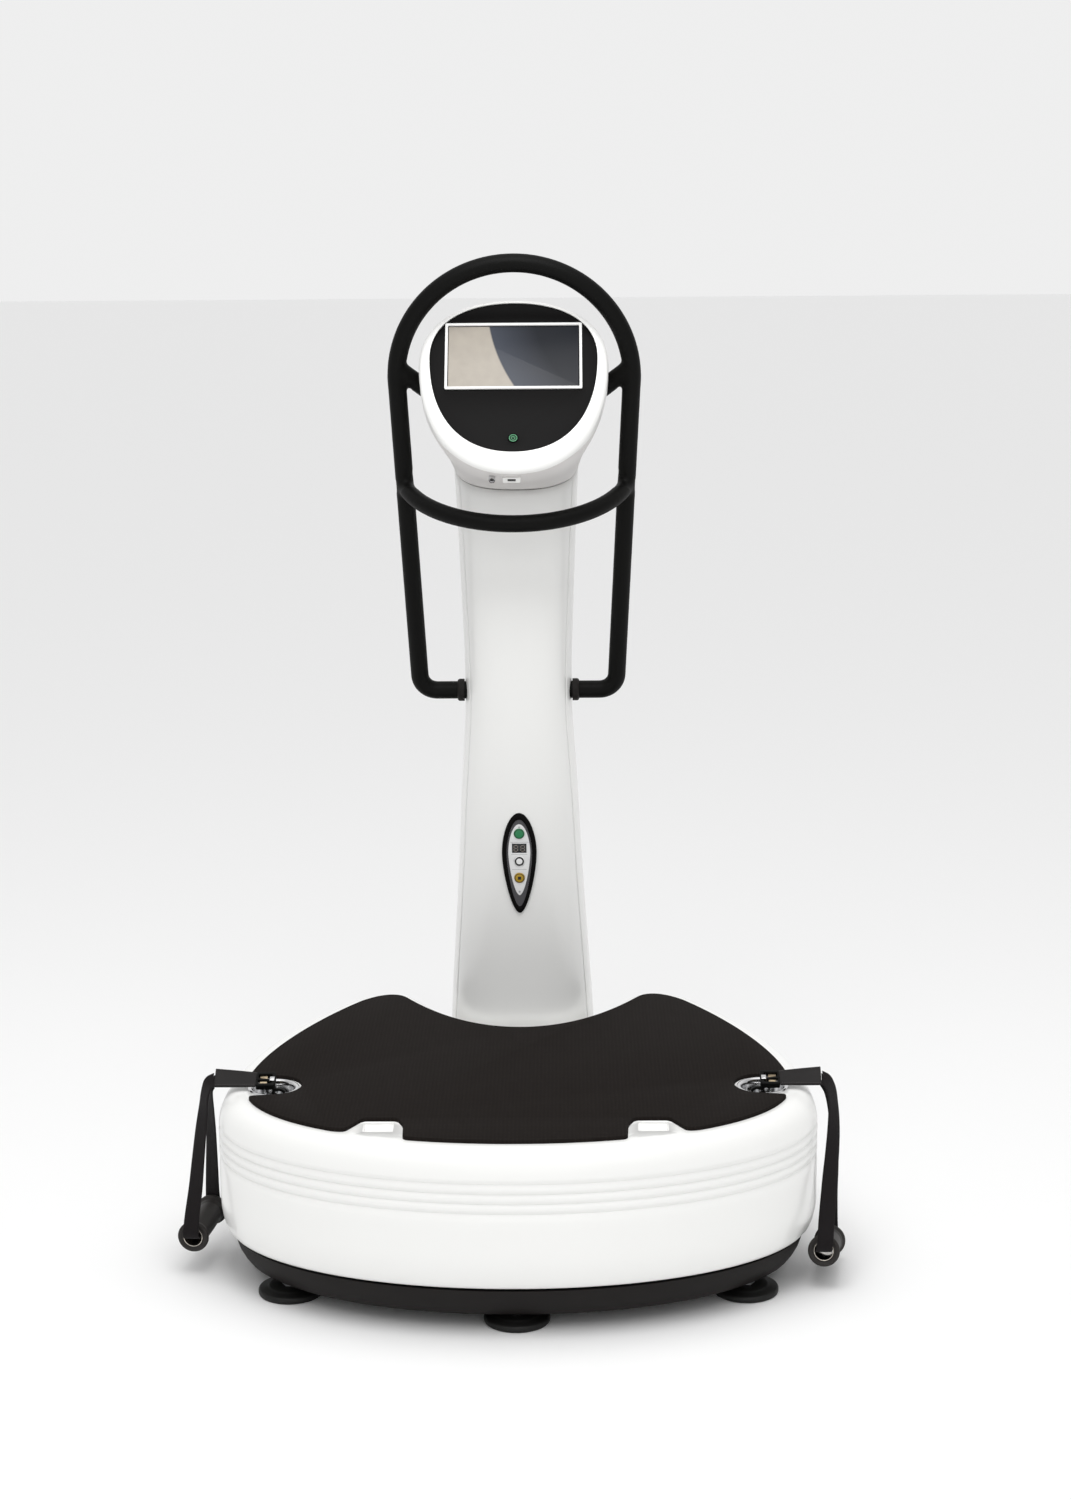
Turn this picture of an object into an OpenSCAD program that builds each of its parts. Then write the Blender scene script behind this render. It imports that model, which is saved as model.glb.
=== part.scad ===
// Whole-body vibration plate: a vibrating platform on a low base, a column with a tilted console,
// a looped handlebar, and two strap handles clipped into cups in the platform.
// Millimetres. +Z is up, the user stands at -Y, and the origin is on the floor under the middle.

/* [Platform] */
// Width of the platform over its shroud
shroud_w = 930; // [790:1:1116]
// Distance from the origin to the front of the shroud
shroud_front = 535; // [460:1:642]
// Distance from the origin forward to the widest line of the shroud
shroud_wide = 250; // [225:1:290]
// Height of the shroud's flat deck above the floor
deck_z = 294; // [286:1:352]
// Height of the shroud's bottom edge
shroud_bottom = 78; // [76:1:90]
// Height over which the shroud's rim rolls over
rim_roll = 56; // [40:1:67]
// Width of the rim between the mat and the outer wall
rim_w = 38; // [32:1:44]
// Thickness of the shroud's deck
deck_t = 6; // [4:0.5:8]
// Thickness of the mat
mat_t = 6; // [3:0.5:8]
// Thickness of the steel platform plate
plate_t = 8; // [6:1:12]

/* [Strap cups] */
// Distance from the shroud's side to the middle of a cup
cup_inset = 85; // [80:1:100]
// Diameter of the cup's flange
cup_d = 80; // [70:1:88]
// Depth of the cup below the deck
cup_depth = 30; // [26:1:36]
// Diameter of the anchor bar
anchor_d = 8; // [6:0.5:9]

/* [Lift pockets] */
// Distance from the middle to a front pocket
pocket_x = 205; // [170:1:246]
// Width of a front pocket
pocket_w = 46; // [38:1:55]
// Depth of a front pocket from back to front
pocket_l = 38; // [30:1:42]

/* [Base] */
// Height of the tray floor above the floor
tray_z = 20; // [18:1:22]
// Height of the tray's upper edge
tray_top = 72; // [66:1:74]
// Half width of the base behind the platform
tail_w = 168; // [166:1:180]
// Distance from the origin to the back of the base
base_back = 535; // [534:1:640]
// Height of the frame's steel members
beam_h = 36; // [30:1:38]
// Diameter of a foot pad
foot_d = 100; // [84:1:120]
// Diameter of a foot stud
stud_d = 16; // [12:1:20]

/* [Drive] */
// Outside diameter of a motor housing
motor_d = 120; // [100:1:140]
// Length of a motor housing
motor_l = 180; // [150:1:216]
// Distance from the middle to a motor's shaft
motor_x = 140; // [120:1:150]
// Diameter of a motor shaft
shaft_d = 20; // [17:1:24]
// Radius of an eccentric weight
weight_r = 45; // [38:1:54]

/* [Column] */
// Height of the column's front seam under the console
column_top = 1194; // [1150:1:1240]
// Wall of the column covers
cover_t = 3; // [2.5:0.5:3.5]
// Distance of the cover seam from the column's side
seam_inset = 10; // [8:1:12]
// Width of the square mast inside the column
mast_w = 80; // [67:1:96]

/* [Handlebar] */
// Outside diameter of the handlebar tube
bar_d = 27.5; // [23:0.5:33]
// Radius of the arch over the console
arch_r = 183; // [180:1:220]
// Height at which the handlebar enters the column
bar_z = 853; // [800:1:900]
// Height of the arch along the leaning plane, from the stubs to its centre
bar_rise = 534; // [500:1:560]
// Forward lean of the handlebar from upright, in degrees
bar_lean = 13.8; // [12:0.1:15]

/* [Console] */
// Width of the console shell
console_w = 292; // [245:1:300]
// Height of the console's face along its slope
console_h = 316; // [300:1:330]
// Lean of the console's face back from upright, in degrees
face_tilt = 37; // [35:1:39]
// Height of the middle of the console's face
face_z = 1367; // [1340:1:1400]
// Width of the display's frame
screen_w = 211; // [176:1:220]
// Height of the display's frame
screen_h = 119; // [100:1:125]

/* [Remote panel] */
// Width of the panel's bezel
panel_w = 57; // [48:1:66]
// Height of the panel's bezel
panel_h = 172; // [150:1:206]
// Height of the panel's middle
panel_z = 574; // [520:1:620]
// Diameter of a panel button
button_d = 17; // [14:0.5:18]

/* [Strap handles] */
// Width of the strap web
web_w = 25; // [21:1:26]
// Length of a grip
grip_l = 121; // [110:1:145]
// Diameter of a grip's end flanges
grip_flange_d = 49; // [41:1:54]
// Bore of the grip's metal tube
grip_bore = 28; // [27:0.5:31]

/* [Hidden] */
$fn = 48;

gap = 0.3; // clearance between pieces that sit in each other
run = 0.05; // radial clearance of a shaft in its bearing
half_w = shroud_w / 2;
lobe_y = 245; // where a rear lobe of the shroud turns in towards the column
notch_y = 66; // middle of the shroud's concave rear edge
mat_side = half_w - 40;
mat_front = shroud_front - rim_w;

// ---- shared functions ----

function bez(a, b, c, d, n) = [
    for (i = [0:n - 1])
        let (t = i / n, s = 1 - t)
        s * s * s * a + 3 * s * s * t * b + 3 * s * t * t * c + t * t * t * d
];

// a right half, listed from front to back on x = 0, closed with its mirror image
function both_sides(half) = concat(
    half,
    [for (i = [len(half) - 2:-1:1]) [-half[i][0], half[i][1]]]
);

function mix(a, b, t) = a * (1 - t) + b * t;

function about(p, centre, s) = centre + (p - centre) * s;

function at_z(p, z) = [p[0], p[1], z];

// rings of one length joined into a closed tube (wrap) or capped at both ends
function ring_faces(rings, count, wrap) = concat(
    [
        for (k = [0:rings - (wrap ? 1 : 2)], i = [0:count - 1])
            let (
                k2 = (k + 1) % rings,
                i2 = (i + 1) % count
            )
            each [
                [k * count + i, k2 * count + i, k2 * count + i2],
                [k * count + i, k2 * count + i2, k * count + i2]
            ]
    ],
    wrap ? [] : [
        [for (i = [0:count - 1]) i],
        [for (i = [count - 1:-1:0]) (rings - 1) * count + i]
    ]
);

module skin(rings, wrap = false, flip = false) {
    points = [for (ring = rings) each ring];
    faces = ring_faces(len(rings), len(rings[0]), wrap);
    polyhedron(points, flip ? [for (f = faces) [for (i = [len(f) - 1:-1:0]) f[i]]] : faces, 4);
}

// end caps of a U-shaped wall, whose ring runs out along one face and back along the other
module wall_skin(rings) {
    count = len(rings[0]);
    last = len(rings) - 1;
    half = count / 2;
    sides = [
        for (k = [0:last - 1], i = [0:count - 1])
            let (i2 = (i + 1) % count)
            each [
                [k * count + i, (k + 1) * count + i2, (k + 1) * count + i],
                [k * count + i, k * count + i2, (k + 1) * count + i2]
            ]
    ];
    caps = [
        for (i = [0:half - 2])
            each [
                [count - 1 - i, count - 2 - i, i + 1, i],
                [for (j = [i, i + 1, count - 2 - i, count - 1 - i]) last * count + j]
            ]
    ];
    polyhedron([for (ring = rings) each ring], concat(sides, caps), 4);
}

function unit(v) = v / norm(v);

function tangent(path, i) = unit(path[min(i + 1, len(path) - 1)] - path[max(i - 1, 0)]);

// rings of a round tube along a path, with one side turned towards the vector up
function tube_rings(path, r, sides, up) = [
    for (i = [0:len(path) - 1])
        let (
            t = tangent(path, i),
            u = unit(up - (up * t) * t),
            v = cross(t, u)
        )
        [for (j = [0:sides - 1]) path[i] + r * (cos(360 * j / sides) * u + sin(360 * j / sides) * v)]
];

module both() {
    children();
    mirror([1, 0, 0])
        children();
}

// ---- platform outlines ----

rim_half = concat(
    bez([0, -shroud_front], [half_w * 0.55, -shroud_front],
        [half_w, 125 - shroud_front], [half_w, -shroud_wide], 18),
    bez([half_w, -shroud_wide], [half_w, 150 - shroud_wide], [half_w - 65, 110], [half_w - 165, 250], 10),
    bez([half_w - 165, 250], [half_w - 203, 302], [205, 310], [172, lobe_y], 8),
    bez([172, lobe_y], [130, 160], [75, notch_y], [0, notch_y], 10),
    [[0, notch_y]]
);
mat_half = concat(
    bez([0, -mat_front], [half_w - 235, -mat_front], [mat_side, -400], [mat_side, -shroud_wide + 15], 18),
    bez([mat_side, -shroud_wide + 15], [mat_side, 140 - shroud_wide],
        [half_w - 110, 70], [half_w - 190, 190], 10),
    bez([half_w - 190, 190], [half_w - 220, 228], [215, 238], [196, 205], 8),
    bez([196, 205], [145, 115], [80, 42], [0, 42], 10),
    [[0, 42]]
);
tray_half = concat(
    bez([0, 20 - shroud_front], [half_w * 0.55 - 10, 20 - shroud_front],
        [half_w - 20, 135 - shroud_front], [half_w - 20, -shroud_wide], 18),
    bez([half_w - 20, -shroud_wide], [half_w - 20, 150 - shroud_wide],
        [half_w - 85, 110], [half_w - 185, 235], 10),
    bez([half_w - 185, 235], [half_w - 225, 285], [tail_w + 5, 270], [tail_w, 335], 8),
    bez([tail_w, 335], [tail_w, base_back], [tail_w, base_back], [tail_w - 80, base_back], 10),
    [[0, base_back]]
);
rim_line = both_sides(rim_half);
mat_line = both_sides(mat_half);
tray_line = both_sides(tray_half);
deck_centre = [0, -180];
tray_centre = [0, -20];

// a ring between the mat's line (0) and the shroud's outer line (1)
function rim_ring(t, z) = [for (i = [0:len(rim_line) - 1]) at_z(mix(mat_line[i], rim_line[i], t), z)];

function deck_ring(s, z) = [for (p = mat_line) at_z(about(p, deck_centre, s), z)];

function tray_ring(s, z) = [for (p = tray_line) at_z(about(p, tray_centre, s), z)];

// ---- base ----

beam_z = tray_z + 12;
beam_top = beam_z + beam_h;
cover_z = beam_top + 1;
feet = [
    [0, -shroud_front + 80], [350 * half_w / 465, -349], [-350 * half_w / 465, -349],
    [tail_w - 58, base_back - 85], [58 - tail_w, base_back - 85]
];
side_foot_x = feet[1][0];
pad_t = 14;
posts = [[250, -330], [215, 40]];
post_w = 50;
post_top = 214;
plate_z = deck_z - deck_t - plate_t;
mast_y = 140;
mast_d = 60;
mast_foot_t = 8;

module base_frame() {
    color("dimgray")
        difference() {
            union() {
                translate([-50, -shroud_front + 60, beam_z])
                    cube([100, shroud_front + base_back - 120, beam_h]);
                translate([-95, mast_y - 40, beam_z])
                    cube([190, 150, beam_h]);
                translate([-side_foot_x - 10, -349 - 20, beam_z])
                    cube([2 * side_foot_x + 20, 40, beam_h]);
                translate([-posts[1][0] - 25, posts[1][1] - 25, beam_z])
                    cube([2 * posts[1][0] + 50, 50, beam_h]);
                translate([-feet[3][0] - 20, feet[3][1] - 25, beam_z])
                    cube([2 * feet[3][0] + 40, 50, beam_h]);
                both()
                    for (p = posts)
                        translate([p[0] - post_w / 2, p[1] - post_w / 2, beam_z])
                            cube([post_w, post_w, post_top - beam_z]);
            }
            for (p = feet)
                translate([p[0], p[1], beam_z - 1])
                    cylinder(d = stud_d + 0.1, h = beam_h + 2);
        }
}

module base_tray() {
    color("#1f1c1b")
        difference() {
            skin([
                tray_ring(0.91, tray_z), tray_ring(0.96, tray_z + 10), tray_ring(0.99, tray_z + 30),
                tray_ring(1, tray_top), tray_ring(0.985, tray_top), tray_ring(0.975, tray_z + 30),
                tray_ring(0.945, tray_z + 12), tray_ring(0.90, tray_z + 4)
            ]);
            for (p = feet)
                translate([p[0], p[1], tray_z - 5])
                    cylinder(d = stud_d + 6, h = 15);
        }
}

module base_cover() {
    color("#242120")
        translate([0, 0, cover_z])
            difference() {
                linear_extrude(3)
                    polygon([for (p = tray_line) about(p, tray_centre, 0.955)]);
                both()
                    for (p = posts)
                        translate([p[0] - post_w / 2 - 2, p[1] - post_w / 2 - 2, -1])
                            cube([post_w + 4, post_w + 4, 5]);
                translate([-95, mast_y - 45, -1])
                    cube([190, 160, 5]);
            }
}

module foot_pads() {
    color("#1b1b1b")
        for (p = feet)
            translate([p[0], p[1], 0])
                difference() {
                    rotate_extrude()
                        polygon([
                            [0, 0], [foot_d / 2 - 3, 0], [foot_d / 2, 3], [foot_d / 2, 8],
                            [foot_d / 2 - 3, 10.5], [foot_d / 2 - 14, 11],
                            [foot_d / 2 - 17, pad_t], [0, pad_t]
                        ]);
                    translate([0, 0, 6])
                        cylinder(d = stud_d + 0.1, h = pad_t);
                }
}

module foot_studs() {
    color("silver")
        for (p = feet)
            translate([p[0], p[1], 6])
                cylinder(d = stud_d, h = beam_top - 8);
}

module foot_nuts() {
    color("silver")
        for (p = feet)
            translate([p[0], p[1], pad_t + 0.5])
                difference() {
                    cylinder(d = stud_d * 1.7, h = tray_z - pad_t - 1, $fn = 6);
                    translate([0, 0, -1])
                        cylinder(d = stud_d + 0.1, h = 20, $fn = 48);
                }
}

module mast() {
    color("gray")
        difference() {
            union() {
                translate([-mast_w / 2, mast_y - mast_d / 2, beam_top])
                    cube([mast_w, mast_d, column_top + 72 - beam_top]);
                translate([-74, mast_y - 22, beam_top])
                    cube([148, 125, mast_foot_t]);
            }
            translate([4 - mast_w / 2, mast_y - mast_d / 2 + 4, beam_top - 1])
                cube([mast_w - 8, mast_d - 8, column_top + 80]);
        }
}

module mast_bolts() {
    color("silver")
        for (x = [-56, 56], y = [-8, 78])
            translate([x, mast_y + y, beam_top + mast_foot_t])
                cylinder(d = 18, h = 9, $fn = 6);
}

module isolators() {
    color("#262626")
        both()
            for (p = posts)
                translate([p[0], p[1], post_top])
                    rotate_extrude()
                        polygon([
                            [0, 0], [30, 0], [30, 8], [24, 16], [30, 24], [24, 32],
                            [30, plate_z - post_top - 8], [30, plate_z - post_top - gap],
                            [0, plate_z - post_top - gap]
                        ]);
}

// ---- platform ----

cup_x = half_w - cup_inset;
cup_y = 5 - shroud_wide;
cup_r = cup_d / 2;

module cup_place() {
    translate([cup_x, cup_y, deck_z])
        children();
}

// the plate, with a bent arm welded under it to carry each cup
module platform_plate() {
    color("slategray") {
        translate([0, 0, plate_z])
            linear_extrude(plate_t)
                polygon([for (p = mat_line) about(p, deck_centre, 0.78)]);
        both()
            translate([0, cup_y + 25, 0])
                rotate([90, 0, 0])
                    linear_extrude(50)
                        polygon([
                            [cup_x - 120, plate_z + 1], [cup_x - 62, plate_z + 1],
                            [cup_x - 52, deck_z - cup_depth],
                            [cup_x + 25, deck_z - cup_depth], [cup_x + 25, deck_z - cup_depth - 6],
                            [cup_x - 56, deck_z - cup_depth - 6], [cup_x - 66, plate_z - 6],
                            [cup_x - 120, plate_z - 6]
                        ]);
    }
}

pocket_back = cup_y - 160;
module pocket_cut(grow, depth) {
    translate([pocket_x - pocket_w / 2 - grow, pocket_back - pocket_l - grow, deck_z - depth])
        cube([pocket_w + 2 * grow, pocket_l + 2 * grow, depth + 10]);
}

module platform_shroud() {
    color("whitesmoke")
        difference() {
            skin([
                rim_ring(0.64, shroud_bottom), rim_ring(0.88, shroud_bottom + 18),
                rim_ring(1, shroud_bottom + 46),
                rim_ring(1, deck_z - rim_roll), rim_ring(0.95, deck_z - 0.66 * rim_roll),
                rim_ring(0.82, deck_z - 0.36 * rim_roll), rim_ring(0.6, deck_z - 0.13 * rim_roll),
                rim_ring(0.3, deck_z - 0.02 * rim_roll), rim_ring(0, deck_z),
                deck_ring(0.62, deck_z), deck_ring(0.62, deck_z - deck_t), rim_ring(0.05, deck_z - deck_t),
                rim_ring(0.5, deck_z - 0.24 * rim_roll - 1), rim_ring(0.74, deck_z - 0.46 * rim_roll),
                rim_ring(0.87, deck_z - rim_roll), rim_ring(0.87, shroud_bottom + 46),
                rim_ring(0.75, shroud_bottom + 18), rim_ring(0.5, shroud_bottom)
            ], wrap = true);
            both()
                cup_place()
                    translate([0, 0, -20])
                        cylinder(r = cup_r - 4 + 0.5, h = 30);
            both()
                pocket_cut(0.5, 20);
        }
}

module mat_underlay() {
    color("#303030")
        translate([0, 0, deck_z - deck_t])
            linear_extrude(deck_t)
                polygon([for (p = mat_line) about(p, deck_centre, 0.615)]);
}

module platform_mat() {
    color("#26221f")
        translate([0, 0, deck_z])
            linear_extrude(mat_t)
                difference() {
                    polygon([for (p = mat_line) about(p, deck_centre, 0.997)]);
                    both() {
                        translate([cup_x, cup_y])
                            circle(r = cup_r + 3);
                        translate([cup_x, cup_y - cup_r - 3])
                            square([cup_inset, 2 * cup_r + 6]);
                        polygon([
                            [pocket_x - pocket_w / 2 - 14, pocket_back - 200],
                            [pocket_x - pocket_w / 2 - 14, pocket_back - 20],
                            [pocket_x - pocket_w / 2 - 4, pocket_back + 6],
                            [pocket_x + pocket_w / 2 + 2, pocket_back + 6],
                            [pocket_x + pocket_w / 2 + 26, pocket_back - 40],
                            [pocket_x + pocket_w / 2 + 26, pocket_back - 200]
                        ]);
                    }
                }
}

module lift_pockets() {
    color("white")
        both()
            difference() {
                translate([pocket_x - pocket_w / 2, pocket_back - pocket_l, deck_z - 22])
                    cube([pocket_w, pocket_l, 22]);
                translate([pocket_x - pocket_w / 2 + 2, pocket_back, deck_z + 1])
                    rotate([90, 0, 90])
                        linear_extrude(pocket_w - 4)
                            polygon([[-3, 0], [2 - pocket_l, 0], [2 - pocket_l, -20], [-10, -8], [-3, -2]]);
            }
}

module strap_cups() {
    color("gainsboro")
        both()
            cup_place()
                rotate_extrude()
                    polygon([
                        [cup_r, 0], [cup_r, 1.6], [cup_r - 3, 2.6], [cup_r - 6.5, 0.5],
                        [cup_r - 10, 12 - cup_depth], [cup_r - 18, 3 - cup_depth], [0, 3 - cup_depth],
                        [0, -cup_depth], [cup_r - 16, -cup_depth], [cup_r - 7, 10 - cup_depth], [cup_r - 4, 0]
                    ]);
}

// the anchor bar lies nearer the middle of the platform than the cup's centre
anchor_x = cup_x - 8;
anchor_z = deck_z - 12;

module strap_anchors() {
    color("silver")
        both()
            translate([anchor_x, cup_y, anchor_z]) {
                rotate([90, 0, 0])
                    cylinder(d = anchor_d, h = 28, center = true);
                for (y = [-17.5, 13.5])
                    translate([-5, y, 15 - cup_depth])
                        cube([10, 4, 20]);
            }
}

// ---- drive ----

motor_y = -160;
motor_z = plate_z - 90;
motor_wall = 6;

module motor_place(y) {
    translate([motor_x, motor_y + y, motor_z])
        rotate([90, 0, 0])
            children();
}

module motor_housings() {
    color("#5c6066")
        both()
            difference() {
                union() {
                    motor_place(0)
                        cylinder(d = motor_d, h = motor_l, center = true);
                    translate([motor_x - 35, motor_y - motor_l / 2 + 15, motor_z + motor_d / 2 - 18])
                        cube([70, motor_l - 30, plate_z - motor_z - motor_d / 2 + 18]);
                }
                motor_place(0)
                    cylinder(d = motor_d - 2 * motor_wall, h = motor_l - 2 * motor_wall, center = true);
                motor_place(0)
                    cylinder(r = shaft_d / 2 + 8 + run, h = motor_l + 10, center = true);
            }
}

module motor_bearings() {
    color("silver")
        both()
            for (y = [-1, 1])
                motor_place(y * (motor_l / 2 - 6))
                    difference() {
                        cylinder(r = shaft_d / 2 + 8, h = 12, center = true);
                        cylinder(r = shaft_d / 2 + run, h = 14, center = true);
                    }
}

module rotor() {
    color("#8a8d91") {
        motor_place(0)
            cylinder(d = shaft_d, h = motor_l + 56, center = true);
        motor_place(0)
            cylinder(d = motor_d - 2 * motor_wall - 20, h = motor_l - 60, center = true);
        for (y = [-1, 1])
            motor_place(y * (motor_l / 2 + 15))
                linear_extrude(20, center = true)
                    intersection() {
                        circle(r = weight_r);
                        translate([-weight_r - 1, -weight_r - 1])
                            square([2 * weight_r + 2, weight_r + 1]);
                    }
    }
}

module rotor_right() {
    rotor();
}

module rotor_left() {
    mirror([1, 0, 0])
        rotor();
}

// ---- column ----

// height, half width, front y, rear y, and how much the section rises from front to rear
stations = [
    [73, 163, 101, 532, 0], [108, 150, 100, 522, 0], [150, 136, 98, 500, 0], [200, 126, 90, 470, 0],
    [300, 120, 80, 410, 0], [390, 114, 76, 374, 0], [480, 108, 70, 342, 0], [570, 102.5, 64, 318, 0],
    [660, 98, 57, 298, 0], [740, 93, 51, 282, 0], [820, 88, 45, 267, 0], [910, 88, 39, 251, 0],
    [1000, 91, 32, 236, 0], [1100, 95, 25, 219, 0.15], [column_top, 100, 18, 204, 0.4]
];
fullness = 2.6; // exponent of the column's rounded section

function power(v, n) = sign(v) * pow(abs(v), n);

// a point of the column's section at an angle, with the wall taken off
function column_pt(s, angle, wall, drop = 0) =
    let (
        middle = (s[2] + s[3]) / 2,
        x = (s[1] - wall) * power(cos(angle), 2 / fullness),
        y = middle + ((s[3] - s[2]) / 2 - wall) * power(sin(angle), 2 / fullness)
    )
    [x, y, s[0] + s[4] * (y - s[2]) - drop];

// the angle below the side at which the cover seam lies
function seam_angle(s) = acos(pow((s[1] - seam_inset) / s[1], fullness / 2));

function cover_ring(s, from, to, count, drop) = concat(
    [for (i = [0:count]) column_pt(s, from + (to - from) * i / count, 0, drop)],
    [for (i = [count:-1:0]) column_pt(s, from + (to - from) * i / count, cover_t, drop)]
);

function column_front(z) = lookup(z, [for (s = stations) [s[0], s[2]]]);
function column_side(z) = lookup(z, [for (s = stations) [s[0], s[1]]]);
function column_rear(z) = lookup(z, [for (s = stations) [s[0], s[3]]]);

// the rear surface's y at a place across and up, and a frame standing on it
function rear_y(x, z) =
    let (semi = (column_rear(z) - column_front(z)) / 2)
    column_front(z) + semi + semi * pow(1 - pow(abs(x) / column_side(z), fullness), 1 / fullness);

module rear_frame(x, z) {
    way = unit([rear_y(x - 1, z) - rear_y(x + 1, z), 2, rear_y(x, z - 1) - rear_y(x, z + 1)]);
    translate([x, rear_y(x, z), z])
        rotate([0, acos(way[2]), atan2(way[1], way[0])])
            children();
}

module panel_frame() {
    translate([0, column_front(panel_z), panel_z])
        rotate([90 + 3.8, 0, 0])
            children();
}

function leaf(w, h) = both_sides(concat(
    bez([0, h], [0.56 * w, h], [w, 0.58 * h], [w, 0.22 * h], 8),
    bez([w, 0.22 * h], [w, -0.2 * h], [0.45 * w, -h], [0, -h], 12),
    [[0, -h]]
));

module column_front_cover() {
    color("whitesmoke")
        difference() {
            wall_skin([
                for (s = stations)
                    cover_ring(s, 360 - seam_angle(s) - 0.3, 180 + seam_angle(s) + 0.3, 18,
                        s[0] == column_top ? 1 : 0)
            ]);
            panel_frame()
                translate([0, 0, -20])
                    linear_extrude(40)
                        polygon(leaf(panel_w / 2 + gap, panel_h / 2 + gap));
        }
}

inlet_z = 118;
inlet_y = column_rear(inlet_z);

module column_rear_cover() {
    color("whitesmoke")
        difference() {
            wall_skin([
                for (s = stations)
                    cover_ring(s, 180 + seam_angle(s) - 0.3, -seam_angle(s) + 0.3, 30,
                        s[0] == column_top ? 1 : 0)
            ]);
            translate([0, mast_y - 20, bar_z])
                rotate([0, 90, 0])
                    cylinder(r = bar_d / 2 + 1.5, h = 300, center = true);
            translate([-40 - gap, inlet_y - 30, inlet_z - 15 - gap])
                cube([80 + 2 * gap, 60, 30 + 2 * gap]);
            for (p = cover_screw_places)
                rear_frame(p[0], p[1])
                    cylinder(d = 5.4, h = 40, center = true);
        }
}

cover_screw_places = [[-40, 300], [40, 300], [-35, 660], [35, 660], [-30, 1000], [30, 1000]];

module motor_controller() {
    color("#3a3d42") {
        translate([-60, mast_y + mast_d / 2 + 1, 350])
            cube([120, 70, 180]);
        for (z = [365:15:515])
            translate([-55, mast_y + mast_d / 2 + 70, z])
                cube([110, 12, 3]);
    }
}

module mains_inlet() {
    color("#1c1c1c")
        difference() {
            translate([-40, inlet_y - 36, inlet_z - 15])
                cube([80, 38, 30]);
            translate([-33, inlet_y - 16, inlet_z - 10])
                cube([28, 30, 20]);
            translate([11, inlet_y - 12, inlet_z - 11])
                cube([22, 30, 22]);
        }
}

// the rocker tips about its middle, so its face is a shallow V, drawn with its lower end pressed in
module mains_rocker() {
    color("#a02020")
        translate([13, inlet_y, inlet_z])
            rotate([90, 0, 90])
                linear_extrude(18)
                    rotate(-8)
                        polygon([[-5, -2], [-5, -8], [2.5, -9.5], [1, 0], [2.5, 9.5], [-5, 8], [-5, 2]]);
}

// ---- handlebar ----

bar_r = bar_d / 2;
elbow_r = 28;
stub_x = 160;
side_lean = atan((arch_r - stub_x) / bar_rise);
bar_y = mast_y - 20;

// a point of the handlebar's leaning plane: across, and up from the stubs
function bar_pt(x, s) = [x, bar_y - s * sin(bar_lean), bar_z + s * cos(bar_lean)];

elbow_x = stub_x + elbow_r * sin(side_lean) - elbow_r;
bar_half = concat(
    [bar_pt(mast_w / 2 + gap, 0), bar_pt(elbow_x, 0)],
    [for (a = [15:15:90]) bar_pt(elbow_x + elbow_r * sin(a), elbow_r * (1 - cos(a)))],
    [bar_pt(mix(stub_x, arch_r, 0.35), 0.35 * bar_rise), bar_pt(mix(stub_x, arch_r, 0.65), 0.65 * bar_rise)],
    [for (a = [-side_lean:7.5:84]) bar_pt(arch_r * cos(a), bar_rise + arch_r * sin(a))]
);
bar_path = concat(
    bar_half,
    [bar_pt(0, bar_rise + arch_r)],
    [for (i = [len(bar_half) - 1:-1:0]) [-bar_half[i][0], bar_half[i][1], bar_half[i][2]]]
);

module loop_tube(r) {
    skin(tube_rings(bar_path, r, 16, [0, cos(bar_lean), sin(bar_lean)]));
}

module handlebar_loop() {
    color("#161616")
        loop_tube(bar_r);
}

// the crossbar bows forward and droops from the two uprights
cross_s = 357;
cross_x = mix(stub_x, arch_r, cross_s / bar_rise);
cross_out = 130;
cross_drop = 45;
cross_sag = norm([cross_out, cross_drop]);
cross_r = (cross_x * cross_x + cross_sag * cross_sag) / (2 * cross_sag);
cross_angle = asin(cross_x / cross_r);
cross_dir = [0, -cross_out, -cross_drop] / cross_sag;

function cross_pt(a) =
    [cross_r * sin(a), bar_pt(0, cross_s)[1], bar_pt(0, cross_s)[2]]
    + cross_dir * (cross_r * cos(a) - cross_r + cross_sag);

module upright_cope() {
    for (side = [-1, 1]) {
        low = bar_pt(side * mix(stub_x, arch_r, (cross_s - 120) / bar_rise), cross_s - 120);
        high = bar_pt(side * mix(stub_x, arch_r, (cross_s + 120) / bar_rise), cross_s + 120);
        way = high - low;
        translate(low)
            rotate([0, acos(way[2] / norm(way)), atan2(way[1], way[0])])
                cylinder(r = bar_r + run, h = norm(way));
    }
}

module handlebar_crossbar() {
    color("#161616")
        difference() {
            skin(tube_rings(
                [for (i = [-12:12]) cross_pt(cross_angle * i / 12)],
                bar_r - 1.5, 16, cross(cross_dir, [1, 0, 0])
            ));
            upright_cope();
        }
}

// a brace runs from the loop through the back of the console to the bracket inside
brace_s = bar_rise + 18;
brace_start = bar_pt(arch_r, brace_s);
brace_way = unit([-0.73, 0.36, -0.575]);
bracket_w = 124;

module brace(r, length) {
    translate(brace_start)
        rotate([0, acos(brace_way[2]), atan2(brace_way[1], brace_way[0])])
            cylinder(r = r, h = length);
}

module handlebar_braces() {
    color("#161616")
        difference() {
            both()
                brace(bar_r - 1, 200);
            loop_tube(bar_r + run);
            translate([-bracket_w / 2 - gap, -100, face_z - 150])
                cube([bracket_w + 2 * gap, 300, 200]);
        }
}

module handlebar_collars() {
    color("#1d1d1d")
        both()
            translate([column_side(bar_z) + 0.6, bar_y, bar_z])
                rotate([0, 90, 0])
                    difference() {
                        cylinder(r = bar_r + 4.5, h = 11);
                        translate([0, 0, -1])
                            cylinder(r = bar_r + run, h = 20);
                    }
}

// ---- console ----

face_y = -85;
console_r = console_w / 2;
console_up = console_h / 2;
shell_back = -34;
shell_t = 3;

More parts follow.
